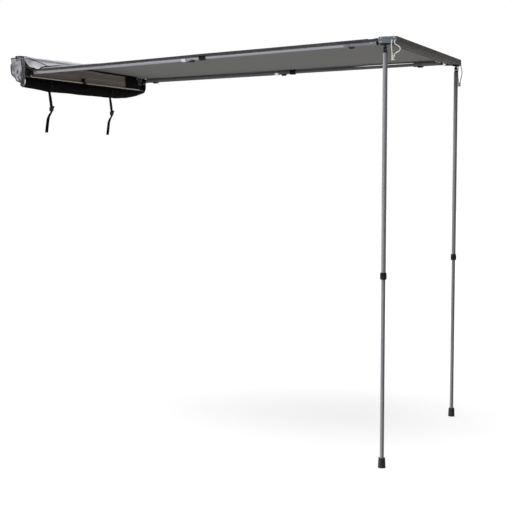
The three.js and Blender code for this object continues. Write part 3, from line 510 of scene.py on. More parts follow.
metalPlain = {
    "group": drawnLines, "values": stretched("X"), "fine": 900.0, "depth": 0.00008, "rough": 0.5, "spread": 0.1,
    "markScale": 45.0, "marks": 0.35, "dustScale": 5.0, "dust": 0.25, "dustRough": 0.4,
}
metals = {
    "board_aluminium": {
        "colour": (0.27, 0.225, 0.195), "dark": (0.21, 0.175, 0.15), "worn": (0.38, 0.35, 0.32),
        "metal": 0.12, "specular": 0.12,
    },
    # A lighter copy of the board's aluminium: painted highlight along the board's lip and its fine lines.
    "board_lip": {
        "colour": (0.50, 0.43, 0.38), "dark": (0.43, 0.37, 0.33), "worn": (0.50, 0.46, 0.42),
        "metal": 0.3, "rough": 0.45,
    },
    "beam_aluminium": {
        "colour": (0.050, 0.040, 0.034), "dark": (0.034, 0.027, 0.023), "worn": (0.20, 0.18, 0.16),
        "metal": 0.12, "specular": 0.08, "dust": 0.10,
    },
    "tube_aluminium": {
        "colour": (0.46, 0.47, 0.51), "dark": (0.38, 0.39, 0.43), "worn": (0.60, 0.60, 0.62),
        "metal": 0.2, "specular": 0.2, "values": stretched("Y"), "fine": 700.0, "depth": 0.00005,
    },
    "leg_aluminium": {
        "colour": (0.30, 0.308, 0.325), "dark": (0.24, 0.247, 0.265), "worn": (0.45, 0.45, 0.47), "metal": 0.0,
        "specular": 0.03, "values": stretched("Z"), "fine": 700.0, "depth": 0.00005, "rough": 0.6, "dust": 0.05,
    },
    "plate_aluminium": {
        "colour": (0.105, 0.115, 0.135), "dark": (0.080, 0.088, 0.105), "worn": (0.35, 0.36, 0.38),
        "metal": 0.5, "specular": 0.3, "values": stretched("Y"), "fine": 1100.0, "depth": 0.00005,
        "rough": 0.42,
    },
    "bright_ring": {
        "colour": (0.66, 0.67, 0.69), "dark": (0.55, 0.56, 0.58), "worn": (0.80, 0.80, 0.81), "metal": 0.9,
        "values": stretched(""), "fine": 1500.0, "depth": 0.00003, "rough": 0.25, "dust": 0.1,
    },
    "steel_pin": {
        "colour": (0.42, 0.42, 0.43), "dark": (0.30, 0.30, 0.31), "worn": (0.60, 0.60, 0.60), "metal": 0.95,
        "values": stretched(""), "fine": 1600.0, "depth": 0.00003, "rough": 0.32,
    },
}
plasticPlain = {
    "group": mouldedGrain, "values": {}, "metal": 0.0, "spread": 0.2, "dustScale": 25.0, "dustRough": 0.3,
}
plastics = {
    "black_plastic": {
        "colour": (0.012, 0.012, 0.013), "dark": (0.007, 0.007, 0.008), "worn": (0.10, 0.10, 0.10),
        "specular": 0.1, "fine": 1800.0, "depth": 0.00010, "rough": 0.5, "dust": 0.04,
        "markScale": 90.0, "marks": 0.2,
    },
    "rubber_foot": {
        "colour": (0.012, 0.012, 0.012), "dark": (0.007, 0.007, 0.007), "worn": (0.09, 0.085, 0.08),
        "specular": 0.3, "fine": 900.0, "depth": 0.00018, "rough": 0.75, "dust": 0.16,
        "markScale": 120.0, "marks": 0.3,
    },
}
clothPlain = {
    "gap": 0.5, "creaseStrength": 0.6, "rough": 0.7, "spread": 0.2, "sheen": 0.0, "dustScale": 4.0,
    "dustRough": 0.2,
}
cloths = {
    "canopy_cloth": {
        "colour": (0.315, 0.311, 0.300), "dark": (0.255, 0.252, 0.243), "threads": 1400.0, "gap": 0.35,
        "creases": 3.5, "creaseDepth": 0.0016, "creaseStrength": 0.25, "depth": 0.00016, "rough": 0.72,
        "specular": 0.02, "sheen": 0.1, "dust": 0.12,
    },
    "canopy_hem": {
        "colour": (0.030, 0.033, 0.037), "dark": (0.020, 0.022, 0.026), "threads": 1100.0,
        "creases": 12.0, "creaseDepth": 0.0010, "creaseStrength": 0.3, "depth": 0.00022,
        "specular": 0.2, "dust": 0.05, "stitch": 0.0045, "thread": (0.08, 0.08, 0.08),
    },
    "edge_tape": {
        "colour": (0.009, 0.009, 0.010), "dark": (0.005, 0.005, 0.006), "threads": 1200.0,
        "creases": 14.0, "creaseDepth": 0.0006, "depth": 0.00022, "rough": 0.68,
        "specular": 0.25, "dust": 0.05, "stitch": 0.0035, "thread": (0.05, 0.05, 0.05),
    },
    "bag_cloth": {
        "colour": (0.005, 0.005, 0.006), "dark": (0.003, 0.003, 0.004), "threads": 950.0,
        "creases": 16.0, "creaseDepth": 0.0018, "depth": 0.00025, "specular": 0.02, "dust": 0.0,
    },
    # A darker copy of the silver lining for the near bag end, which faces the side lamp: painted shade; its
    # dark tone, spread by noise, is painted shade of creases.
    "bag_end_lining_painted_shade": {
        "colour": (0.46, 0.46, 0.495), "dark": (0.13, 0.13, 0.155), "threads": 1300.0, "gap": 0.25,
        "creases": 22.0, "creaseDepth": 0.0040, "creaseStrength": 0.9, "depth": 0.00012, "rough": 0.5,
        "specular": 0.3, "dust": 0.05,
    },
    "bag_lining": {
        "colour": (0.60, 0.60, 0.64), "dark": (0.40, 0.40, 0.45), "threads": 1300.0, "gap": 0.25,
        "creases": 15.0, "creaseDepth": 0.0040, "creaseStrength": 0.7, "depth": 0.00012, "rough": 0.38,
        "metal": 0.15, "dust": 0.04,
    },
    "webbing": {
        "colour": (0.008, 0.008, 0.009), "dark": (0.004, 0.004, 0.004), "threads": 620.0, "gap": 0.7,
        "creases": 10.0, "creaseDepth": 0.0003, "depth": 0.0005, "specular": 0.04, "dust": 0.02,
    },
}
ropes = {
    "rope": {
        "colour": (0.74, 0.73, 0.69), "dark": (0.42, 0.41, 0.38), "rough": 0.75, "across": 4.0,
        "along": 280.0, "gap": 0.7, "depth": 0.0008, "sheen": 0.3, "dustScale": 40.0, "dust": 0.12,
    },
}
finishes = {}
for makeFinish, plain, finishTable in (
    (hardFinish, metalPlain, metals), (hardFinish, plasticPlain, plastics),
    (clothFinish, clothPlain, cloths), (ropeFinish, {}, ropes),
):
    for slotName, look in finishTable.items():
        finishes[slotName] = makeFinish(slotName, {**plain, **look})
print("finishes:", len(finishes))


# CAD nodes keep their shape and take their slot's finish; legs take the darker leg finish, and the far tubes
# and the arm tip tubes take it too, as painted shade.
slotOfNode = {part["node"]: part["material_slot"] for part in frame["record"]["subparts"]}
eased = {"ends": ("bracket", "plate", "corner", "hook", "knuckle", "buckle", "rest", "cap"), "width": 0.0005,
         "weld": 1e-5, "limit": math.radians(40)}


def dressNode(name):
    # The named kinds have their hard edges bevelled.
    made = nodes[name]
    slotName = slotOfNode[name]
    made.data.materials.clear()
    # Painted shade: the far tubes and the tip tubes get the legs' darker copy of the tube alloy; the legs get
    # it as their own finish.
    legOrPaintedShade = slotName == "tube_aluminium" and ("_leg_" in name or "far_" in name or name.endswith("tip_tube"))
    made.data.materials.append(finishes["leg_aluminium" if legOrPaintedShade else slotName])
    if name.endswith(eased["ends"]):
        addModifier(made, "WELD", merge_threshold=eased["weld"])
        addModifier(made, "BEVEL", width=eased["width"], segments=2, limit_method="ANGLE",
                    angle_limit=eased["limit"])
    addModifier(made, "NODES", node_group=smoothing)


for nodeName in nodes:
    dressNode(nodeName)


# Guy ropes: two strands out of each end plate, one knot under them. Places are in millimetres.
rope = {
    "radius": 0.0025, "plateFace": 0.6436, "beamFace": -2.023, "beamTop": 0.073, "rings": 90, "sides": 14,
    # (out, down) where a strand leaves its eye
    "mouth": [(0, 18), (4, 18), (8.2, 18.8), (11.8, 21.2), (14.2, 24.8), (15, 29)],
    # place back of the eye, then (back, down) of the hanging run
    "near_inner": (19, [(19.6, 38), (19.4, 50), (18.3, 62), (17, 73), (16.2, 81), (16, 88.5)]),
    "near_outer": (5, [
        (4.2, 33.4), (2, 37.4), (-1.1, 40), (-8, 44.3), (-14.9, 48.7), (-18, 51.3), (-20.2, 55.3),
        (-21, 59.7), (-20, 64.6), (-17.3, 68.7), (-13.5, 71.5), (-7.2, 74.5), (-0.9, 77.4), (2.6, 80),
        (5.1, 83.8), (6, 88.5),
    ]),
    "far_inner": (19, [(19.8, 41), (21, 57), (21.6, 75), (20.4, 95), (18.6, 111), (18, 122.5)]),
    "far_outer": (5, [(3.4, 39), (0.6, 50), (-1, 64), (-0.4, 80), (2.8, 96), (6.4, 109), (8, 122.5)]),
}
knotLook = {
    "near": (15, 11, 89), "far": (15, 13, 123), "radius": 0.0044, "tube": 0.0027, "swing": 0.42,
    "rise": 0.00408, "drop": 0.0052, "points": 120, "sides": 12, "seam": 0.0015,
    # (radius, height) down the outside of the frayed skirt and up its inside
    "skirt": [(0, -6.0), (3.4, -6.4), (4.0, -9.2), (5.6, -12.5), (7.6, -16.0), (8.8, -19.6), (7.8, -19.9),
              (4.0, -18.8), (0, -18.5)],
    "skirtSides": 30, "skirtLong": 0.03, "skirtRound": 3, "strands": 10, "fray": 0.16, "lay": 5,
}


def ropePlace(side, points):
    # Millimetres [out, back, down] from the plate's face, the beam's face and its top, in the frame's metres.
    p = np.asarray(points, float) / 1000
    return np.stack([
        side * (rope["plateFace"] + p[..., 0]), rope["beamFace"] + p[..., 1], rope["beamTop"] - p[..., 2],
    ], -1)


def makeStrand(name, side, route, replaced):
    # A circle carried out of the eye and down the run, which keeps the mouth's last place out.
    back, run = route
    mouth = rope["mouth"]
    points = [(out, back, down) for out, down in mouth] + [(mouth[-1][0], *spot) for spot in run]
    path = smoothLine(ropePlace(side, points), rope["rings"])
    made = buildTube(name, path, rope["radius"], rope["sides"], (0, 1, 0), 1, "rope")
    settleSolid(made, "beam", [replaced])


def makeKnot(name, side, spot, replaced):
    # A trefoil: the radius swings as cos 3t while the angle goes round twice, over a short frayed skirt.
    t = np.linspace(0, 2 * np.pi, knotLook["points"] + 1)[:-1]
    top = ropePlace(side, spot)
    reach = knotLook["radius"] * (1 + knotLook["swing"] * np.cos(3 * t))
    curl = np.stack([reach * np.cos(2 * t), reach * np.sin(2 * t), knotLook["rise"] * np.sin(3 * t)], -1)
    path = top + curl - [0, 0, knotLook["drop"]]
    tangent = unit(np.roll(path, -1, 0) - np.roll(path, 1, 0))
    across = unit(np.cross(tangent, path - path.mean(0)))
    tube = carried(circle(knotLook["tube"], knotLook["sides"]), path, across, np.cross(across, tangent))
    tube = np.concatenate([tube, tube[:1]])
    v = np.append(arcLength(path), arcLength(path)[-1] + knotLook["seam"])[:, None]
    u = np.linspace(0, 1, knotLook["sides"] + 1)[None, :]
    skirt = turn(
        np.array(knotLook["skirt"]) / 1000, knotLook["skirtSides"], top, (0, 0, 1),
        lambda a, s: 1 + knotLook["fray"] * s * np.cos(knotLook["strands"] * a + knotLook["lay"] * s),
    )
    skirtV = np.linspace(0, knotLook["skirtLong"], len(skirt))[:, None]
    skirtU = np.linspace(0, knotLook["skirtRound"], knotLook["skirtSides"] + 1)[None, :]
    points = np.concatenate([tube.reshape(-1, 3), skirt.reshape(-1, 3)])
    faces = [gridFaces(*tube.shape[:2], True), gridFaces(*skirt.shape[:2], True) + tube[..., 0].size]
    uv = np.concatenate([cornerUv(u, v), cornerUv(skirtU, skirtV)])
    made = buildObject(name, points, np.concatenate(faces), ["rope"], uv)
    return settleSolid(made, "beam", [replaced])


for endName, side in ends:
    knot = makeKnot(f"{endName}_knot", side, knotLook[endName], f"{endName}_rope_knot")
    for which, pieces in (("inner", [knot]), ("outer", [])):
        route = rope[f"{endName}_{which}"]
        makeStrand(f"{endName}_strand_{which}", side, route, f"{endName}_rope_{which}")
print("ropes made")


# The sheet. Heights are of the middle of its thickness; across is a share of the half width.
sheet = {
    "from": -0.0303, "to": -1.9707, "half": 0.636, "boardHalf": 0.575, "beamHalf": 0.595,
    "cornerFrom": -0.0843, "cornerTo": -1.8827, "slopeTo": -1.8987, "boardHeight": 0.035, "beamHeight": 0.067,
    "sag": 0.006, "droop": 2.6, "thick": 0.0009, "columns": 150, "rows": 200, "crowd": 0.8, "foldFade": 0.06,
    "hemDrop": 0.0085, "hemRound": 0.003, "hemInside": 0.022, "hemGap": 0.0010, "hemThick": 0.0008,
    "hemRows": 240, "wave": (0.0012, 0.29), "ripple": (0.0007, 0.083), "tape": 0.014, "tapeThick": 0.0024,
    "tapeHalf": 0.995, "beamTape": 0.008, "hemIn": (0.03, -0.04), "hemOut": 0.02, "hemStart": 0.004,
    "hemEnd": 0.002, "hemOver": 0.001,
    "armX": 0.610, "armFrom": -0.058, "armTo": -1.952, "arms": {-1: (-0.025, 0.051), 1: (0.009, 0.0567)},
    "edgeRise": {
        -1: [(-1.88, 0.0150), (-1.75, 0.0145), (-1.4, 0.0130), (-1.04, 0.0128), (-0.95, 0.0117),
             (-0.82, 0.0108), (-0.45, 0.0084), (-0.3, 0.0080), (-0.03, 0.0080)],
        1: [(-1.88, 0.0182), (-1.78, 0.0204), (-1.64, 0.0217), (-1.49, 0.0217), (-1.40, 0.0192),
            (-1.06, 0.0172), (-0.95, 0.0160), (-0.82, 0.0146), (-0.45, 0.0126), (-0.03, 0.0110)],
    },
    # place across and along, direction in degrees from Y, length, width and height of each fold
    "folds": [
        (-0.592, -1.46, 1.0, 0.26, 0.010, 0.0026), (-0.560, -1.58, -2.0, 0.30, 0.012, 0.0022),
        (-0.575, -1.22, 3.0, 0.24, 0.012, 0.0020), (-0.520, -0.26, 24.0, 0.16, 0.016, 0.0030),
        (-0.430, -0.20, 38.0, 0.13, 0.016, 0.0028), (0.520, -0.24, -26.0, 0.17, 0.016, 0.0032),
        (0.450, -0.17, -42.0, 0.13, 0.016, 0.0028), (0.560, -1.70, 12.0, 0.16, 0.014, 0.0024),
        (-0.540, -1.78, -14.0, 0.15, 0.014, 0.0026), (0.30, -0.75, -4.0, 0.40, 0.030, 0.0018),
        (-0.22, -1.10, 5.0, 0.45, 0.034, 0.0016), (0.05, -1.50, -3.0, 0.38, 0.030, 0.0014),
    ],
}


def armHeight(y, side):
    # A straight line from the hinge to the tip.
    hinge, tip = sheet["arms"][side]
    return hinge + (tip - hinge) * (sheet["armFrom"] - y) / (sheet["armFrom"] - sheet["armTo"])


def edgeHeight(y, side):
    # The arm's line plus the edge's rise over it.
    return armHeight(y, side) + np.interp(y, *zip(*sheet["edgeRise"][side]))


def sheetHalf(y):
    # Straight stretches between the corners' cuts.
    places = [sheet["to"], sheet["slopeTo"], sheet["cornerTo"], sheet["cornerFrom"], sheet["from"]]
    halves = [sheet["beamHalf"], sheet["beamHalf"], sheet["half"], sheet["half"], sheet["boardHalf"]]
    return np.interp(y, places, halves)


def sheetHeight(across, y):
    # Straight between the grooves, less a sag of 4s(1-s)(1-u^2), drawn to the arms by u^2.6, plus bell curves.
    start, end, fade = sheet["from"], sheet["to"], sheet["foldFade"]
    share = (start - y) / (start - end)
    middle = sheet["boardHeight"] + (sheet["beamHeight"] - sheet["boardHeight"]) * share
    sag = sheet["sag"] * 4 * share * (1 - share) * (1 - across**2)
    arm = np.where(across < 0, edgeHeight(y, -1), edgeHeight(y, 1))
    edge = smoothStep(start, sheet["cornerFrom"], y) * smoothStep(end, sheet["slopeTo"], y)
    height = middle - sag + (arm - middle) * edge * np.abs(across) ** sheet["droop"]
    x = across * sheetHalf(y)
    inside = smoothStep(start, start - fade, y) * smoothStep(end, end + fade, y)
    for foldX, foldY, way, length, width, rise in sheet["folds"]:
        c, s = math.cos(math.radians(way)), math.sin(math.radians(way))
        dx, dy = x - foldX, y - foldY
        bell = np.exp(-(((dx * c + dy * s) / width) ** 2) - ((dy * c - dx * s) / length) ** 2)
        height = height + rise * inside * bell
    return height


def sheetPoints(p, y):
    # p is the share across up to 1 each side; past 1 it is metres round the fold and down the hem.
    across = np.clip(p, -1, 1)
    fadeIn = smoothStep(*[sheet["cornerFrom"] + shift for shift in sheet["hemIn"]], y)
    fadeOut = smoothStep(sheet["slopeTo"], sheet["cornerTo"] + sheet["hemOut"], y)
    past = np.maximum(np.abs(p) - 1, 0) * fadeIn * fadeOut
    bend = np.minimum(past / sheet["hemRound"], np.pi / 2)
    down = past - bend * sheet["hemRound"]
    side = np.sign(p)
    (high, long), (low, short) = sheet["wave"], sheet["ripple"]
    wave = high * np.sin(2 * np.pi * y / long + side) + low * np.sin(2 * np.pi * y / short)
    x = across * sheetHalf(y) + side * (sheet["hemRound"] * np.sin(bend) + wave * down / sheet["hemDrop"])
    z = sheetHeight(across, y) - sheet["hemRound"] * (1 - np.cos(bend)) - down
    return np.stack(np.broadcast_arrays(x, y, z), -1)


def sheetRows(start, end, count):
    # Even steps, with the corners' own places added.
    marks = [m for m in (sheet["cornerFrom"], sheet["cornerTo"], sheet["slopeTo"]) if end < m < start]
    return np.unique(np.concatenate([np.linspace(start, end, count), marks]))[::-1]


def hemRows(count):
    # The hems' own stretch, from just past the corner at the board to just past the one at the beam.
    return sheetRows(sheet["cornerFrom"] - sheet["hemStart"], sheet["cornerTo"] - sheet["hemEnd"], count)


def blendSheet(made, replaced=()):
    # Every piece of the sheet gets smooth shading and its place baked into its mesh, and the CAD nodes that it
    # replaces are hidden.
    addModifier(made, "NODES", node_group=smoothing)
    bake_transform(made)
    if replaced:
        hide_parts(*replaced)
    return made


def makeSheet():
    # The grid of sheetPoints, its columns crowded to the sides; U is the place across and V along, in metres.
    y = sheetRows(sheet["from"], sheet["to"], sheet["rows"])[:, None]
    hem = 1 + np.linspace(0, sheet["hemDrop"], 9)[1:]
    middle = np.linspace(-1, 1, sheet["columns"])
    middle = np.sign(middle) * np.abs(middle) ** sheet["crowd"]
    points = sheetPoints(np.concatenate([-hem[::-1], middle, hem])[None, :], y)
    made = buildGrid("canopy_sheet", points, ["canopy_cloth"], points[..., 0], -y, flipped=True)
    thicken(made, sheet["thick"])
    blendSheet(made, replaced=["canopy"])
    return made, gridArea(points), float(arcLength(points[:, points.shape[1] // 2])[-1])


def makeHem(name, side):
    # A second layer outside the fold, from a little inside the top to the hem's lower edge.
    y = hemRows(sheet["hemRows"])[:, None]
    inner = 1 - np.linspace(sheet["hemInside"], 0, 8) / sheet["half"]
    outer = 1 + np.linspace(0, sheet["hemDrop"] + sheet["hemOver"], 10)[1:]
    p = side * np.concatenate([inner, outer])[None, :]
    points = sheetPoints(p, y)
    normal = normalsOf(points)
    points = points + sheet["hemGap"] * normal * np.sign(normal[:, :1, 2:])
    made = buildGrid(name, points, ["canopy_hem"], arcLength(points, 1)[:, ::-1], -y)
    thicken(made, sheet["hemThick"])
    return blendSheet(made)


edgeLine = {"rows": 160, "past": 0.0012, "out": 0.0004, "up": 0.0016, "radius": 0.0013, "sides": 8,
            "girth": 0.008}


def makeEdgeLine(name, side):
    # A thin black cord along the fold's upper corner: a small circle carried along the edge.
    y = hemRows(edgeLine["rows"])
    across = np.full(len(y), side * (1 + edgeLine["past"]))
    path = sheetPoints(across, y) + [side * edgeLine["out"], 0, edgeLine["up"]]
    radius, sides, girth = edgeLine["radius"], edgeLine["sides"], edgeLine["girth"]
    made = buildTube(name, path, radius, sides, (1, 0, 0), girth, "edge_tape")
    tidyMesh(made)
    return blendSheet(made)


def makeEndTape(name, y0, y1):
    # The black tape that holds the cord edge: a strip on both faces of the sheet, along X.
    y = np.linspace(y0, y1, 5)[:, None]
    points = sheetPoints(np.linspace(-sheet["tapeHalf"], sheet["tapeHalf"], 120)[None, :], y)
    made = buildGrid(name, points, ["edge_tape"], y0 - y, points[..., 0], flipped=True)
    thicken(made, sheet["tapeThick"])
    return blendSheet(made)


cornerTab = {"end": -1.9362, "start": -1.8842, "place": 0.6408, "width": 0.0125, "lift": 0.0016, "curl": 0.0010,
             "thick": 0.0010}


def makeTab(name, side):
    # An upright ribbon from the hem's end to the end plate; its top rises by lift x a sine over the last half.
    share = np.linspace(0, 1, 30)[:, None]
    down = np.linspace(0, cornerTab["width"], 7)[None, :]
    y = cornerTab["start"] + (cornerTab["end"] - cornerTab["start"]) * share + 0 * down
    z = edgeHeight(y, side) + cornerTab["lift"] * np.sin(np.pi * np.clip(2 * share - 1, 0, 1)) - down
    curl = cornerTab["curl"] * np.sin(np.pi * share) * np.sin(np.pi * down / cornerTab["width"])
    points = np.stack([side * (cornerTab["place"] + curl), y, z], -1)
    made = buildGrid(name, points, ["canopy_hem"], -y, z)
    thicken(made, cornerTab["thick"])
    return blendSheet(made)


canopySheet, canopyArea, canopyRun = makeSheet()
canopyHems = [
    make(f"canopy_{endName}_{piece}", side)
    for make, piece in ((makeHem, "hem"), (makeTab, "tab"), (makeEdgeLine, "piping")) for endName, side in ends
]
canopyHems += [makeEndTape("canopy_board_tape", sheet["from"], sheet["from"] - sheet["tape"]),
               makeEndTape("canopy_beam_tape", sheet["to"] + sheet["beamTape"], sheet["to"])]


# Ties that hold the sheet to the arms: bands sewn on inside the tube, slung under it and hooked up outside.
tie = {
    "wide": 0.022, "thick": 0.0016, "rounded": 0.0004, "stitch": 0.014,
    "sections": {
        -1: [(17, 12.5), (18.5, 0), (15, -10), (8, -15.5), (-1, -17.5), (-9, -16.5), (-13.5, -12.5)],
        1: [(30.5, 6), (29.5, -3), (23, -11), (11, -15.5), (-2, -16.8), (-10, -15), (-14.5, -10.5)],
    },
    "places": {-1: [-0.985, -1.80], 1: [-0.14, -0.985, -1.80]},
    "twists": [0.0, 0.12, -0.10],
}


def makeTie(name, side, y, twist):
    # The section (along X from the tube's axis, up from it) drawn along Y, slid a little by the twist.
    line = smoothLine(np.array(tie["sections"][side]) / 1000, 40)
    along = np.linspace(-0.5, 0.5, 9)[None, :] * tie["wide"]
    slant = y + along + twist * line[:, :1]
    points = np.stack(np.broadcast_arrays(
        side * sheet["armX"] + line[:, :1], slant, armHeight(slant, side) + line[:, 1:]), -1)
    made = buildGrid(name, points, ["edge_tape"], along + tie["stitch"], arcLength(line)[:, None] + y)
    thicken(made, tie["thick"], tie["rounded"])
    blendSheet(made)


for endName, side in ends:
    for count, y in enumerate(tie["places"][side]):
        makeTie(f"{endName}_tie_{count + 1}", side, y, tie["twists"][count])
print("ties made")


# The bag: lower flap, upper flap, two ends, zip and straps. Numbers in millimetres.
def ridges(a, b, waves):
    # Sum of folds 1 - 2|sin|: each has its way, its length, its start and its height, and bends a little.
    total = np.zeros(np.broadcast(a, b).shape)
    for way, length, start, height in waves:
        angle = math.radians(way)
        run = a * math.cos(angle) + b * math.sin(angle)
        bend = 0.35 * np.sin((a * math.sin(angle) - b * math.cos(angle)) * 2.1 / length + start)
        total = total + height * (1 - 2 * np.abs(np.sin(np.pi * run / length + start + bend)))
    return total


boardLength = 1280.0
lower = {
    "top": -50.8, "front": -44.5, "width": 35.0, "depth": 64.0, "seam": 3.0, "thick": 1.8, "rows": 44,
    "columns": 260, "gatherRun": 90,
    # depth's share along the bag, then (width's share, depth's share) round the curl
    "shares": [(-0.5, 0.81), (-0.31, 1), (0, 0.96), (0.24, 0.94), (0.34, 0.82), (0.44, 0.5), (0.5, 0.2)],
    "curl": [(0.41, 0), (0.2, 0), (0, 0.35), (0.08, 0.7), (0.36, 1), (0.7, 0.97), (1, 0.75)],
    "gather": [(82, 47, 0.4, 0.5), (97, 71, 1.9, 0.6), (64, 133, 0.8, 0.5), (12, 38, 2.2, 0.25)],
}
upper = {
    # place along the bag, then shares of rise, drop, reach, lift and depth there
    "shares": [
        (-0.5, 0.25, 1, 1, 0, 0.3), (-0.478, 0.3, 1, 0.95, 0.1, 0.5), (-0.45, 0.32, 1, 0.6, 0.15, 0.8),
        (-0.41, 0.35, 1, 0.46, 0.1, 1), (-0.3, 0.55, 1, 0.42, 0.05, 1), (-0.2, 0.7, 1, 0.36, 0, 1),
        (-0.12, 0.85, 0.5, 0.15, 0.3, 1), (-0.06, 0.9, 0, 0, 1, 1), (0.25, 0.8, 0, 0, 1, 1),
        (0.5, 0.5, 0, 0, 1, 1),
    ],
    "back": [(1, 0), (0.9, 0.3), (0.4, 1), (0, 0.5)], "tail": [(0.03, 1, 1.17), (0.33, 0.5, 1.33), (1, 0, 1.5)],
    "lay": 53.8, "front": -38.5, "round": 0.85, "deep": 9.0, "drape": 84.0, "reach": 64.0, "rise": 20.0,
    "lift": 11.0, "extra": 3.0, "clear": 2.6, "cloth": 1.5, "rows": 72, "columns": 330,
    "crumple": [(38, 110, 0.3, 0.9), (-47, 84, 1.1, 0.8), (78, 61, 2.0, 0.4), (-12, 90, 1.6, 0.4)],
    "strength": 1.25, "finer": (-0.482, -0.464, 24),
    # rows and columns that the piping along the old fold runs through
    "foldRows": [18, 26, 34, 42, 50, 58, 64, 70], "foldColumns": [6, 14, 24, 34, 44, 52, 58, 64],
}


def makeLowerFlap():
    # Back and down shares of the curl, times width and depth at each place along the bag, gathered by ridges.
    along = np.linspace(-0.5, 0.5, lower["columns"])[None, :]
    curl = smoothLine(lower["curl"], lower["rows"])
    deep = lower["depth"] * np.interp(along, *zip(*lower["shares"])) - lower["seam"]
    y = lower["front"] + lower["width"] * curl[:, :1] + 0 * along
    x = along * boardLength + 0 * y
    points = np.stack([x, y, lower["top"] - deep * curl[:, 1:]], -1)
    share = np.linspace(0, 1, len(y))[:, None]
    gather = ridges(x, share * lower["gatherRun"], lower["gather"])
    fade = smoothStep(0.12, 0.3, share) * (1 + 0.8 * smoothStep(0.2, 0.45, along))
    points = (points + normalsOf(points) * (gather * fade)[..., None]) / 1000
    made = buildGrid("lower_flap", points, ["bag_cloth", "bag_lining"], x / 1000, arcLength(points))
    tidyMesh(made)
    thicken(made, lower["thick"] / 1000, material_offset=1)
    return settle(made, "board", ["bag_lower_flap"]), points


def upperSpine(along):
    # Up over the board from the back, round its front edge and down onto the sheet.
    shares = np.array(upper["shares"])
    rise, drop, reach, lift, deep = (np.interp(along, shares[:, 0], column) for column in shares.T[1:])
    lay, front, t = upper["lay"], upper["front"], upper["deep"]
    rows = [(upper["reach"] * back * deep, lay + upper["rise"] * rise * up) for back, up in upper["back"]]
    rows += [(front * upper["round"] + 0 * rise, lay + 0 * rise), (front + 0 * rise, lay - t + 0 * rise)]
    across = np.clip(along * boardLength / (sheet["half"] * 1000), -1, 1)
    for out, extra, hang in upper["tail"]:
        y = front - upper["drape"] * reach * out
        under = sheetHeight(across, y / 1000) * 1000 + upper["clear"]
        lying = under + upper["lift"] * lift + upper["extra"] * extra
        free = lay - t * hang
        rows.append((y, free + (lying - free) * drop))
    return smoothLine(np.stack([np.stack([y, z], -1) for y, z in rows]), upper["rows"])


def makeUpperFlap():
    # The spine at each place along the bag, with more of them over the near arm, crumpled by ridges that stay
    # within the cloth's room.
    even, finer = np.linspace(-0.5, 0.5, upper["columns"]), np.linspace(*upper["finer"])
    along = np.unique(np.concatenate([even, finer]))
    spine = upperSpine(along)
    x = along[None, :] * boardLength + 0 * spine[..., 0]
    points = np.concatenate([x[..., None], spine], -1)
    normal = normalsOf(points)
    normal = normal * np.sign(normal[20:21, :, 2:])
    run = arcLength(points)
    share = run / run[-1:]
    fade = 0.55 + 0.45 * smoothStep(-0.1, -0.42, along)[None, :]
    lying = 1 - 0.7 * smoothStep(0.62, 0.75, share)
    limit = (upper["deep"] - upper["cloth"]) / 2 - 0.5
    crumple = np.clip(upper["strength"] * ridges(x, run, upper["crumple"]) * fade * lying, -limit, limit)
    points = (points + normal * crumple[..., None]) / 1000
    made = buildGrid("upper_flap", points, ["bag_lining", "bag_cloth"], x / 1000, run / 1000)
    if normalsOf(points)[20, 160, 2] < 0:
        made.data.flip_normals()
    thicken(made, upper["cloth"] / 1000, material_offset=1)
    return settle(made, "board", ["bag_upper_flap"]), points


def makePiping(name, path, radius):
    # A small circle carried along the path.
    made = buildTube(name, path, radius, 10, (0.3, 0.2, 1), 0.006, "edge_tape")
    return settleSolid(made, "board")


zipLook = {"tooth": 0.0036, "size": (0.0021, 0.0030, 0.0024), "gap": 0.0005}


def makeZip(name, path, out):
    # One tooth, a small box, every few millimetres of the path; out is the way that the teeth point.
    at = evenly(path, int(arcLength(path)[-1] / zipLook["tooth"]))
    along = unit(np.gradient(at, axis=0))
    side = unit(np.cross(along, (0.0, 0, 1)))
    over = np.cross(side, along)
    side = side * np.sign((side @ np.asarray(out, float))[:, None] + 1e-9)
    corners = np.array([(a, b, c) for a in (-0.5, 0.5) for b in (0, 1) for c in (-0.5, 0.5)])[None]
    long, wide, high = zipLook["size"]
    teeth = (at[:, None] + corners[..., :1] * long * along[:, None]
             + (corners[..., 1:2] * wide + zipLook["gap"]) * side[:, None]
             + corners[..., 2:] * high * over[:, None])
    box = np.array([(0, 1, 3, 2), (4, 6, 7, 5), (0, 4, 5, 1), (2, 3, 7, 6), (0, 2, 6, 4), (1, 5, 7, 3)])
    faces = (box[None] + 8 * np.arange(len(at))[:, None, None]).reshape(-1, 4)
    return settleSolid(buildObject(name, teeth, faces, ["black_plastic"]), "board")


binding = {"radius": 0.0017, "foldRadius": 0.0016, "foldShift": (0, -0.0006, 0.0014), "over": 0.0004,
           "past": 0.0006, "zip": 0.0014}


def bindFlap(name, edgeName, points, cut, rows, way, fold=None):
    # Piping on the free edge, the ends and the old fold, and the zip; way is 1 to the back and -1 to the front.
    edge, radius = points[-1], binding["radius"]
    pieces = [makePiping(f"{name}_{edgeName}_binding", edge[cut:-cut] + [0, way * binding["over"], 0], radius)]
    for (endName, side), column in zip(ends, (0, -1)):
        path = points[rows, column] + [side * binding["past"], 0, 0]
        pieces.append(makePiping(f"{name}_{endName}_binding", path, radius))
    if fold is not None:
        pieces.append(makePiping(f"{name}_fold_piping", fold, binding["foldRadius"]))
    pieces.append(makeZip(f"{name}_zip", edge[2 * cut:-2 * cut] + [0, way * binding["zip"], 0], (0, way, 0)))
    return pieces


lowerFlap, lowerPoints = makeLowerFlap()
upperFlap, upperPoints = makeUpperFlap()
foldLine = smoothLine(upperPoints[upper["foldRows"], upper["foldColumns"]], 60) + binding["foldShift"]
bindFlap("lower_flap", "back", lowerPoints, 2, slice(8, -1), 1)
bindFlap("upper_flap", "front", upperPoints, 3, slice(4, -3), -1, foldLine)
print("flaps made")


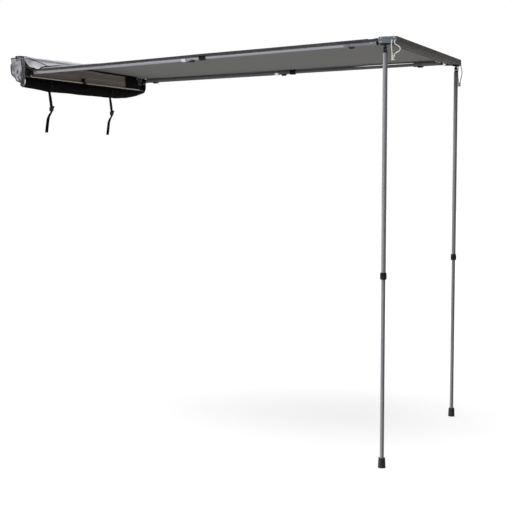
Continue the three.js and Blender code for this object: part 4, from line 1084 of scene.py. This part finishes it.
# Bag ends: a crumpled cup of cloth at each end of the board.
bagEnd = {
    "start": 643.6, "front": 46.0, "deep": 76.0, "top": 52.0, "full": 152.84, "middle": (-8.0, -24.42),
    "rings": 26, "round": 200, "girth": 0.42, "fill": 0.25, "sunk": 0.9,
    "folds": [(34, 62, 0.3, 1.0), (-52, 49, 1.4, 0.9), (84, 40, 2.3, 0.4)],
    "piping": {"radius": 0.0022, "sides": 8, "girth": 0.005},
    # rows and columns of the near end that the line of painted crease shade runs through
    "creaseRows": np.arange(6, 46, 4), "creaseColumns": np.linspace(152, 118, 10).astype(int),
    "creaseRadius": 0.0018,
}
bagEnds = {
    "near": {
        # Its finish is a darker copy of the silver lining: painted shade.
        "side": -1, "depth": 27.0, "finish": "bag_end_lining_painted_shade", "slot": "bag_lining", "crumple": 4.2,
        "bulge": [(0, 0.955), (0.12, 0.99), (0.45, 1.0), (0.8, 0.985), (1, 0.93)],
        "outline": [(0.03, 0.03), (0.5, 0), (1, 0.02), (1, 0.64), (0.55, 0.83), (0.06, 1), (0.02, 0.74),
                    (0, 0.4)],
    },
    "far": {
        "side": 1, "depth": 34.0, "finish": "bag_cloth", "slot": "bag_cloth", "crumple": 2.4,
        "bulge": [(0, 0.955), (0.12, 0.99), (0.45, 1.0), (0.8, 0.96), (1, 0.84)],
        "outline": [(0.04, 0.25), (0.3, 0.2), (0.8, 0.24), (1, 0.4), (1, 0.6), (0.75, 0.75), (0.3, 0.78),
                    (0.04, 0.6)],
    },
}


def outlineRing(corners, count):
    # Even steps round the closed outline, its corners eased by a running mean.
    back, down = np.array(corners).T
    p = np.stack([-bagEnd["front"] + bagEnd["deep"] * back, bagEnd["top"] - bagEnd["full"] * down], -1)
    ring = evenly(np.concatenate([p, p[:1]]), count + 1)[:-1]
    return sum(np.roll(ring, shift, 0) for shift in range(-4, 5)) / 9


def endPoints(look, rows):
    # Ring sizes follow the bulge over the depth, then close over the outer face.
    ring = outlineRing(look["outline"], bagEnd["round"])
    middle = np.array(bagEnd["middle"])
    depth = np.concatenate([np.linspace(0, 1, rows), np.ones(rows)])
    size = np.interp(depth, *zip(*look["bulge"]))
    size[rows:] = look["bulge"][-1][1] * (1 - np.linspace(0, 1, rows + 1)[1:] ** 1.1)
    flat = middle + (ring[None] - middle) * size[:, None, None]
    x = look["side"] * (bagEnd["start"] + look["depth"] * depth)[:, None] + 0 * flat[..., 0]
    return np.concatenate([x[..., None], flat], -1)


def makeBagEnd(name, look, replaced):
    # Ridges push the cup's wall in and out, fading at its rim and its middle; a first ring closes its mouth.
    points = endPoints(look, bagEnd["rings"])
    normal = normalsOf(points)
    outward = points - [look["side"] * bagEnd["start"], *bagEnd["middle"]]
    normal = normal * np.sign((normal * outward).sum(-1))[..., None]
    folds = ridges(points[..., 1] + 0.6 * points[..., 0], points[..., 2], bagEnd["folds"])
    rows = np.arange(len(points))[:, None]
    fade = smoothStep(0, 4, rows) * smoothStep(len(points) - 1, len(points) - 8, rows)
    pushed = look["crumple"] * (np.minimum(folds, 0.2) - bagEnd["sunk"]) * fade
    points = (points + normal * pushed[..., None]) / 1000
    u = np.linspace(0, bagEnd["girth"], bagEnd["round"] + 1)[None, :]
    v = np.concatenate([[0], arcLength(points).mean(1)])[:, None]
    closed = np.concatenate([0 * points[:1] + points[:1].mean(1, keepdims=True), points])
    made = buildGrid(name, closed, [look["finish"]], u, v, True)
    settleSolid(made, "board", [replaced])
    return points


def makeEndPiping(name, loop, look):
    # A closed line of piping round one ring of the end.
    loop = np.concatenate([loop, loop[:2]])
    tube = sweep(circle(look["radius"], look["sides"]), loop, (1, 0.01, 0.02))[:-1]
    u = np.linspace(0, look["girth"], look["sides"] + 1)[None, :]
    made = buildGrid(name, tube, ["edge_tape"], u, arcLength(loop[:-1])[:, None], True)
    settleSolid(made, "board")


cups = {
    endName: makeBagEnd(f"{endName}_bag_end", look, f"bag_{endName}_end") for endName, look in bagEnds.items()
}
for endName, cup in cups.items():
    makeEndPiping(f"{endName}_bag_end_piping", cup[bagEnd["rings"] - 1], bagEnd["piping"])
# A black cord along a crease of the near bag end: painted shade in the crease.
creaseShadeLine = smoothLine(cups["near"][bagEnd["creaseRows"], bagEnd["creaseColumns"]], 50)
makePiping("near_bag_end_crease_shade", creaseShadeLine - [binding["past"], 0, 0], bagEnd["creaseRadius"])

# A sheet of black bag cloth over the board's far end; its black is painted shade beside the far arm's bracket.
shadeCloth = {"reach": (432.0, 639.0), "heights": (-44.5, -14.5), "lift": 43.0, "step": (560.0, 590.0),
          "face": -33.2, "bow": 1.8, "wave": 4.0, "waves": 2.3, "thick": 0.0012, "folds": [(60, 21, 0.4, 0.5)]}


def makeShadeCloth(name, look):
    # A grid of black bag cloth over the board's far end: flat on the face, then bowed out by a half sine
    # towards the bag end; its black is painted shade beside the far arm's bracket.
    across, down = np.linspace(0, 1, 70)[:, None], np.linspace(0, 1, 24)[None, :]
    low, high = look["heights"]
    inner, outer = look["reach"]
    x = inner + (outer - inner) * across
    top = high + look["lift"] * smoothStep(look["step"][1], look["step"][0], x)
    z = top + (low - top) * down
    x = x - look["wave"] * np.sin(look["waves"] * np.pi * down) * (1 - across)
    y = look["face"] - look["bow"] * np.sin(np.pi * down) * smoothStep(0, 0.2, across)
    points = np.stack([x, y - ridges(x, z, look["folds"]), z], -1) / 1000
    made = buildGrid(name, points, ["bag_cloth"], points[..., 0], points[..., 2])
    thicken(made, look["thick"])
    settle(made, "board")


makeShadeCloth("far_end_shade_cloth", shadeCloth)
print("bag ends made")


# Straps: webbing along the source's route, sewn up the flap, with a folded tail.
strap = {
    "length": 218.0, "wide": 20.0, "thick": 0.0017, "rounded": 0.0004, "reach": 30.0,
    "places": {"near": (-398, -113.5), "far": (246, -110.1)},
    # aside and down as shares of the length, and the share of a turn
    "route": [(0, 0, -0.01), (0.05, 0.2, -0.045), (0.08, 0.36, -0.03), (0.08, 0.48, 0), (0, 0.56, -0.015),
              (-0.07, 0.66, -0.04), (-0.11, 0.82, -0.05), (-0.15, 1, -0.05)],
    "sewnRows": slice(10, 32), "sewnHalf": 2, "sewnGap": 0.0018,
}


def makeStrap(name, x, top, replaced):
    # The centre runs aside and down; the width turns about the upright by each point's share of a turn.
    aside, down, angle = smoothLine(strap["route"], 70).T * [[strap["length"]], [strap["length"]], [2 * np.pi]]
    centre = np.stack([x + aside, 0 * angle - strap["reach"], top - down], -1) / 1000
    wide = strap["wide"] / 1000
    across = np.linspace(-0.5, 0.5, 9)[None, :] * wide
    way = np.stack([np.cos(angle), np.sin(angle), 0 * angle], -1)
    points = centre[:, None] + across[..., None] * way[:, None]
    run = arcLength(centre)
    made = buildGrid(name, points, ["webbing"], across, run[:, None])
    thicken(made, strap["thick"], strap["rounded"])
    settle(made, "board", [replaced])
    sewStrap(name, x)


def sewStrap(name, x):
    # The same webbing laid on the flap's outer face, from under the lip to the strap's top.
    half = strap["sewnHalf"]
    column = int(round((x / boardLength + 0.5) * (lowerPoints.shape[1] - 1)))
    piece = lowerPoints[strap["sewnRows"], column - half:column + half + 1]
    normal = normalsOf(piece)
    middle = (piece - strap["sewnGap"] * normal * np.sign(normal[:1, :1, 1:2]))[:, half]
    across = np.linspace(-0.5, 0.5, 7)[None, :] * strap["wide"] / 1000
    points = middle[:, None] + across[..., None] * [1.0, 0, 0]
    made = buildGrid(name + "_sewn_part", points, ["webbing"], across, arcLength(middle)[:, None])
    thicken(made, strap["thick"])
    return settle(made, "board")


for endName, (x, top) in strap["places"].items():
    makeStrap(f"{endName}_strap_webbing", x, top, f"{endName}_strap")
print("straps made")


# Grips: a ribbed collar on each leg and arm. Profiles are in millimetres.
legGrip = {"near": (-0.610, -1.960), "far": (0.610, -2.002), "top": -0.999, "radius": 15.4, "wide": 11.3,
           "narrow": 9.8, "ribs": 20, "deep": 0.07, "sides": 160}
armGrip = {"along": 0.96867, "radius": 13.9, "wide": 10.3, "narrow": 8.9, "ribs": 18, "deep": 0.06,
           "sides": 144}
gripLong = 32.0


def makeTurned(name, profile, centre, axis, body, slotName, replaced=(), ripple=None, sides=72):
    # A profile in millimetres turned about the axis.
    ring = turn(np.asarray(profile, float) / 1000, sides, centre, axis, ripple)
    return settleSolid(buildGrid(name, ring, [slotName], closed=True), body, replaced)


def makeGrip(endName, limb, look, centre, axis):
    # Out along the lower face, up the grip with a waist above it, and back down the bore. Grooves are a
    # flattened cosine, only over the middle of the grip.
    r, start = look["radius"], -gripLong
    profile = [(look["narrow"], start), (r - 1.6, start), (r - 0.4, start + 1.2), (r, start + 3),
               (r, start + 3.6), (r, start + 10), (r, start + 18), (r, start + 24), (r - 1.4, start + 25),
               (r - 1.4, start + 27), (r - 0.3, start + 28), (r - 0.3, -1), (r - 1.3, 0), (look["wide"], 0),
               (look["narrow"], -10), (look["narrow"], start)]

    def ripple(a, s):
        groove = smoothStep(0.1, 0.9, 0.5 - 0.5 * np.cos(look["ribs"] * a))
        return 1 - look["deep"] * groove * ((s > 0.2) & (s < 0.42))

    makeTurned(f"{endName}_{limb}_grip", profile, centre, axis, f"{endName}_{limb}_lock", "black_plastic",
               [f"{endName}_{limb}_collar"], ripple, look["sides"])


for endName, side in ends:
    makeGrip(endName, "leg", legGrip, (*legGrip[endName], legGrip["top"]), (0, 0, 1))
    hinge, tip = (np.array([side * sheet["armX"], sheet[key], height])
                  for key, height in zip(("armFrom", "armTo"), sheet["arms"][side]))
    makeGrip(endName, "arm", armGrip, hinge + unit(tip - hinge) * armGrip["along"], hinge - tip)
print("grips made")

# Drawn lines of the two extrusions: (Y, Z, way out of the face, width, height), all in millimetres.
front, under = (0, -1, 0), (0, 0, -1)
ribs = {
    "board": {
        # The board's lip and lines take the lighter copy of its aluminium: painted highlight.
        "half": 588.0, "finish": "board_lip",
        "lines": [(-38, -44.6, front, 8.4, 2.0), (-30, 21, front, 1.6, 0.5), (-30, -14, front, 1.6, 0.5)],
    },
    "beam": {
        "half": 636.0, "finish": "beam_aluminium",
        "lines": [
            (-2023, 69.5, front, 2.2, 0.9), (-2023, 58.5, front, 2.0, 0.9), (-2023, 47.5, front, 2.2, 0.9),
            (-2017, 43, under, 3.0, 2.4), (-2001, 43, under, 2.4, 1.6), (-1977, 43, under, 3.0, 2.4),
        ],
    },
}


def makeRib(name, body, look, line):
    # Half an ellipse that stands on the face, carried along X, with its edges a hair off it.
    y, z, out, wide, high = line
    angle = np.linspace(0, np.pi, 9)
    section = np.stack([0.5 * wide * np.cos(angle), high * np.sin(angle) + 0.02], -1)
    path = np.linspace((-look["half"], y, z), (look["half"], y, z), 24)
    rib = closeEnds(sweep(section, path, out)) / 1000
    made = buildGrid(name, rib, [look["finish"]], closed=True)
    settleSolid(made, body)


for body, look in ribs.items():
    for count, line in enumerate(look["lines"]):
        makeRib(f"{body}_line_{count + 1}", body, look, line)

edgeBand = {"half": 574.0, "least": 0.3, "grows": (-60.0, 220.0), "face": -30.3, "deep": 1.7, "top": 33.9,
        "tall": 4.0, "wave": (0.3, 37), "rings": 90, "sides": 12}


def makeEdgeBand(name, look):
    # A black ellipse carried along the board under the sheet's edge; it grows by 3t^2 - 2t^3 from the near end,
    # so the band widens towards the far end.
    x = np.linspace(-look["half"], look["half"], look["rings"])[:, None]
    angle = np.linspace(0, 2 * np.pi, look["sides"], endpoint=False)[None, :]
    size = look["least"] + (1 - look["least"]) * smoothStep(*look["grows"], x)
    y = look["face"] - look["deep"] * size * (1 + np.cos(angle))
    rise, run = look["wave"]
    z = look["top"] - look["tall"] * size * (1 - np.sin(angle)) + rise * np.sin(x / run) * size
    rings = closeEnds(np.stack(np.broadcast_arrays(x, y, z), -1)) / 1000
    settleSolid(buildGrid(name, rings, ["bag_cloth"], closed=True), "board")


makeEdgeBand("sheet_edge_black_band", edgeBand)

# Screws in the end plates and the arm brackets, and the small stop on the board's face.
screw = {
    "head": 3.4, "high": 1.3, "socket": 1.7, "sides": 28,
    "plate": {"x": 0.6433, "size": 0.9, "places": [(-2.012, 0.0665), (-1.950, 0.0665), (-1.950, 0.0495)]},
    "bracket": {"y": -0.0343, "size": 0.7,
                "places": [(x, z) for z in (0.0135, -0.0135) for x in (-0.017, 0.017)]},
}
stop = {"place": (-0.02, -0.030, -0.040), "sides": 40,
        "profile": [(0, 5.5), (3.6, 5.2), (4.6, 4.2), (4.9, 3), (4.9, 0.8), (6, 0.6), (6.2, -0.02), (0, -0.02)]}


def makeScrew(name, spot, axis, body, size):
    # A domed head with a socket sunk in its middle.
    r, h, s = screw["head"] * size, screw["high"] * size, screw["socket"] * size
    profile = [(0, h * 0.35), (s, h * 0.35), (s, h), (r * 0.72, h * 0.96), (r * 0.93, h * 0.66), (r, h * 0.2),
               (r, -0.02), (0, -0.02)]
    makeTurned(name, profile, spot, axis, body, "steel_pin", sides=screw["sides"])


for endName, side in ends:
    look = screw["plate"]
    for count, (y, z) in enumerate(look["places"]):
        spot = (side * look["x"], y, z)
        makeScrew(f"{endName}_plate_screw_{count + 1}", spot, (side, 0, 0), "beam", look["size"])
    look = screw["bracket"]
    for count, (dx, dz) in enumerate(look["places"]):
        spot = (side * sheet["armX"] + dx, look["y"], sheet["arms"][side][0] + dz)
        makeScrew(f"{endName}_bracket_screw_{count + 1}", spot, (0, -1, 0), "board", look["size"])
makeTurned("board_stop_button", stop["profile"], stop["place"], (0, -1, 0), "board", "black_plastic",
           sides=stop["sides"])
print("small parts made")


# Stage: white floor and world, a soft light from the side and one from above, each (way, strength, softness).
stageLook = {
    "floor": -1.9138, "size": 60.0, "floorColour": (0.37, 0.37, 0.37), "floorGlow": 0.735,
    "lamps": {"side": ((-0.56, 0.76, 0.06), 2.6, 14.0), "top": ((-0.25, 0.20, 1.0), 2.75, 50.0)},
    "world": 0.20, "worldTilt": 0.95,
}


def seenRays(tree):
    # 1 for rays from the camera and in reflections and clear pieces, and 0 for all others.
    rays = tree.nodes.new("ShaderNodeLightPath").outputs
    seen = calc(tree, "MAXIMUM", rays["Is Camera Ray"], rays["Is Transmission Ray"])
    return calc(tree, "MAXIMUM", seen, rays["Is Glossy Ray"])


def makeFloor():
    # Grey under the lamps; seen rays add a glow, which lifts the lit floor to white and leaves the shadow.
    half = stageLook["size"] / 2
    corners = [(-half, -half, 0), (half, -half, 0), (half, half, 0), (-half, half, 0)]
    made = buildObject("floor", np.array(corners) + [0, 0, stageLook["floor"]], [[0, 1, 2, 3]], [])
    look = {"colour": stageLook["floorColour"], "specular": 0.0}
    material, tree, shader = startMaterial("floor", look)[:3]
    shader["Base Color"].default_value = rgba(stageLook["floorColour"])
    shader["Roughness"].default_value = 1.0
    shader["Emission Color"].default_value = (1, 1, 1, 1)
    tree.links.new(times(tree, seenRays(tree), stageLook["floorGlow"]), shader["Emission Strength"])
    made.data.materials.append(material)
    return made


def makeWorld():
    # White to the camera and in reflections; all else gets a plain level times 1 + tilt x the way's Y.
    world = bpy.data.worlds.new("world")
    world.use_nodes = True
    bpy.context.scene.world = world
    tree = world.node_tree
    seen = seenRays(tree)
    way = splitOf(tree, tree.nodes.new("ShaderNodeTexCoord").outputs["Generated"])
    tilt = plus(tree, times(tree, way["Y"], stageLook["worldTilt"]), 1.0)
    plain = times(tree, tilt, stageLook["world"])
    level = plus(tree, times(tree, seen, calc(tree, "SUBTRACT", 1.0, plain)), plain)
    background = tree.nodes["Background"].inputs
    background["Color"].default_value = (1, 1, 1, 1)
    tree.links.new(level, background["Strength"])


def makeLamp(name, way, strength, softness):
    # A far light from the given way; its softness is the angle in degrees that it fills.
    data = bpy.data.lights.new(name, "SUN")
    data.energy = strength
    data.angle = math.radians(softness)
    made = bpy.data.objects.new(name, data)
    bpy.context.scene.collection.objects.link(made)
    made.rotation_euler = Vector(way).to_track_quat("Z", "Y").to_euler()
    return made


lamps = [makeLamp(f"{lampName}_light", *lamp) for lampName, lamp in stageLook["lamps"].items()]
makeFloor()
makeWorld()
bpy.context.scene.view_settings.view_transform = "Standard"
print("stage made")
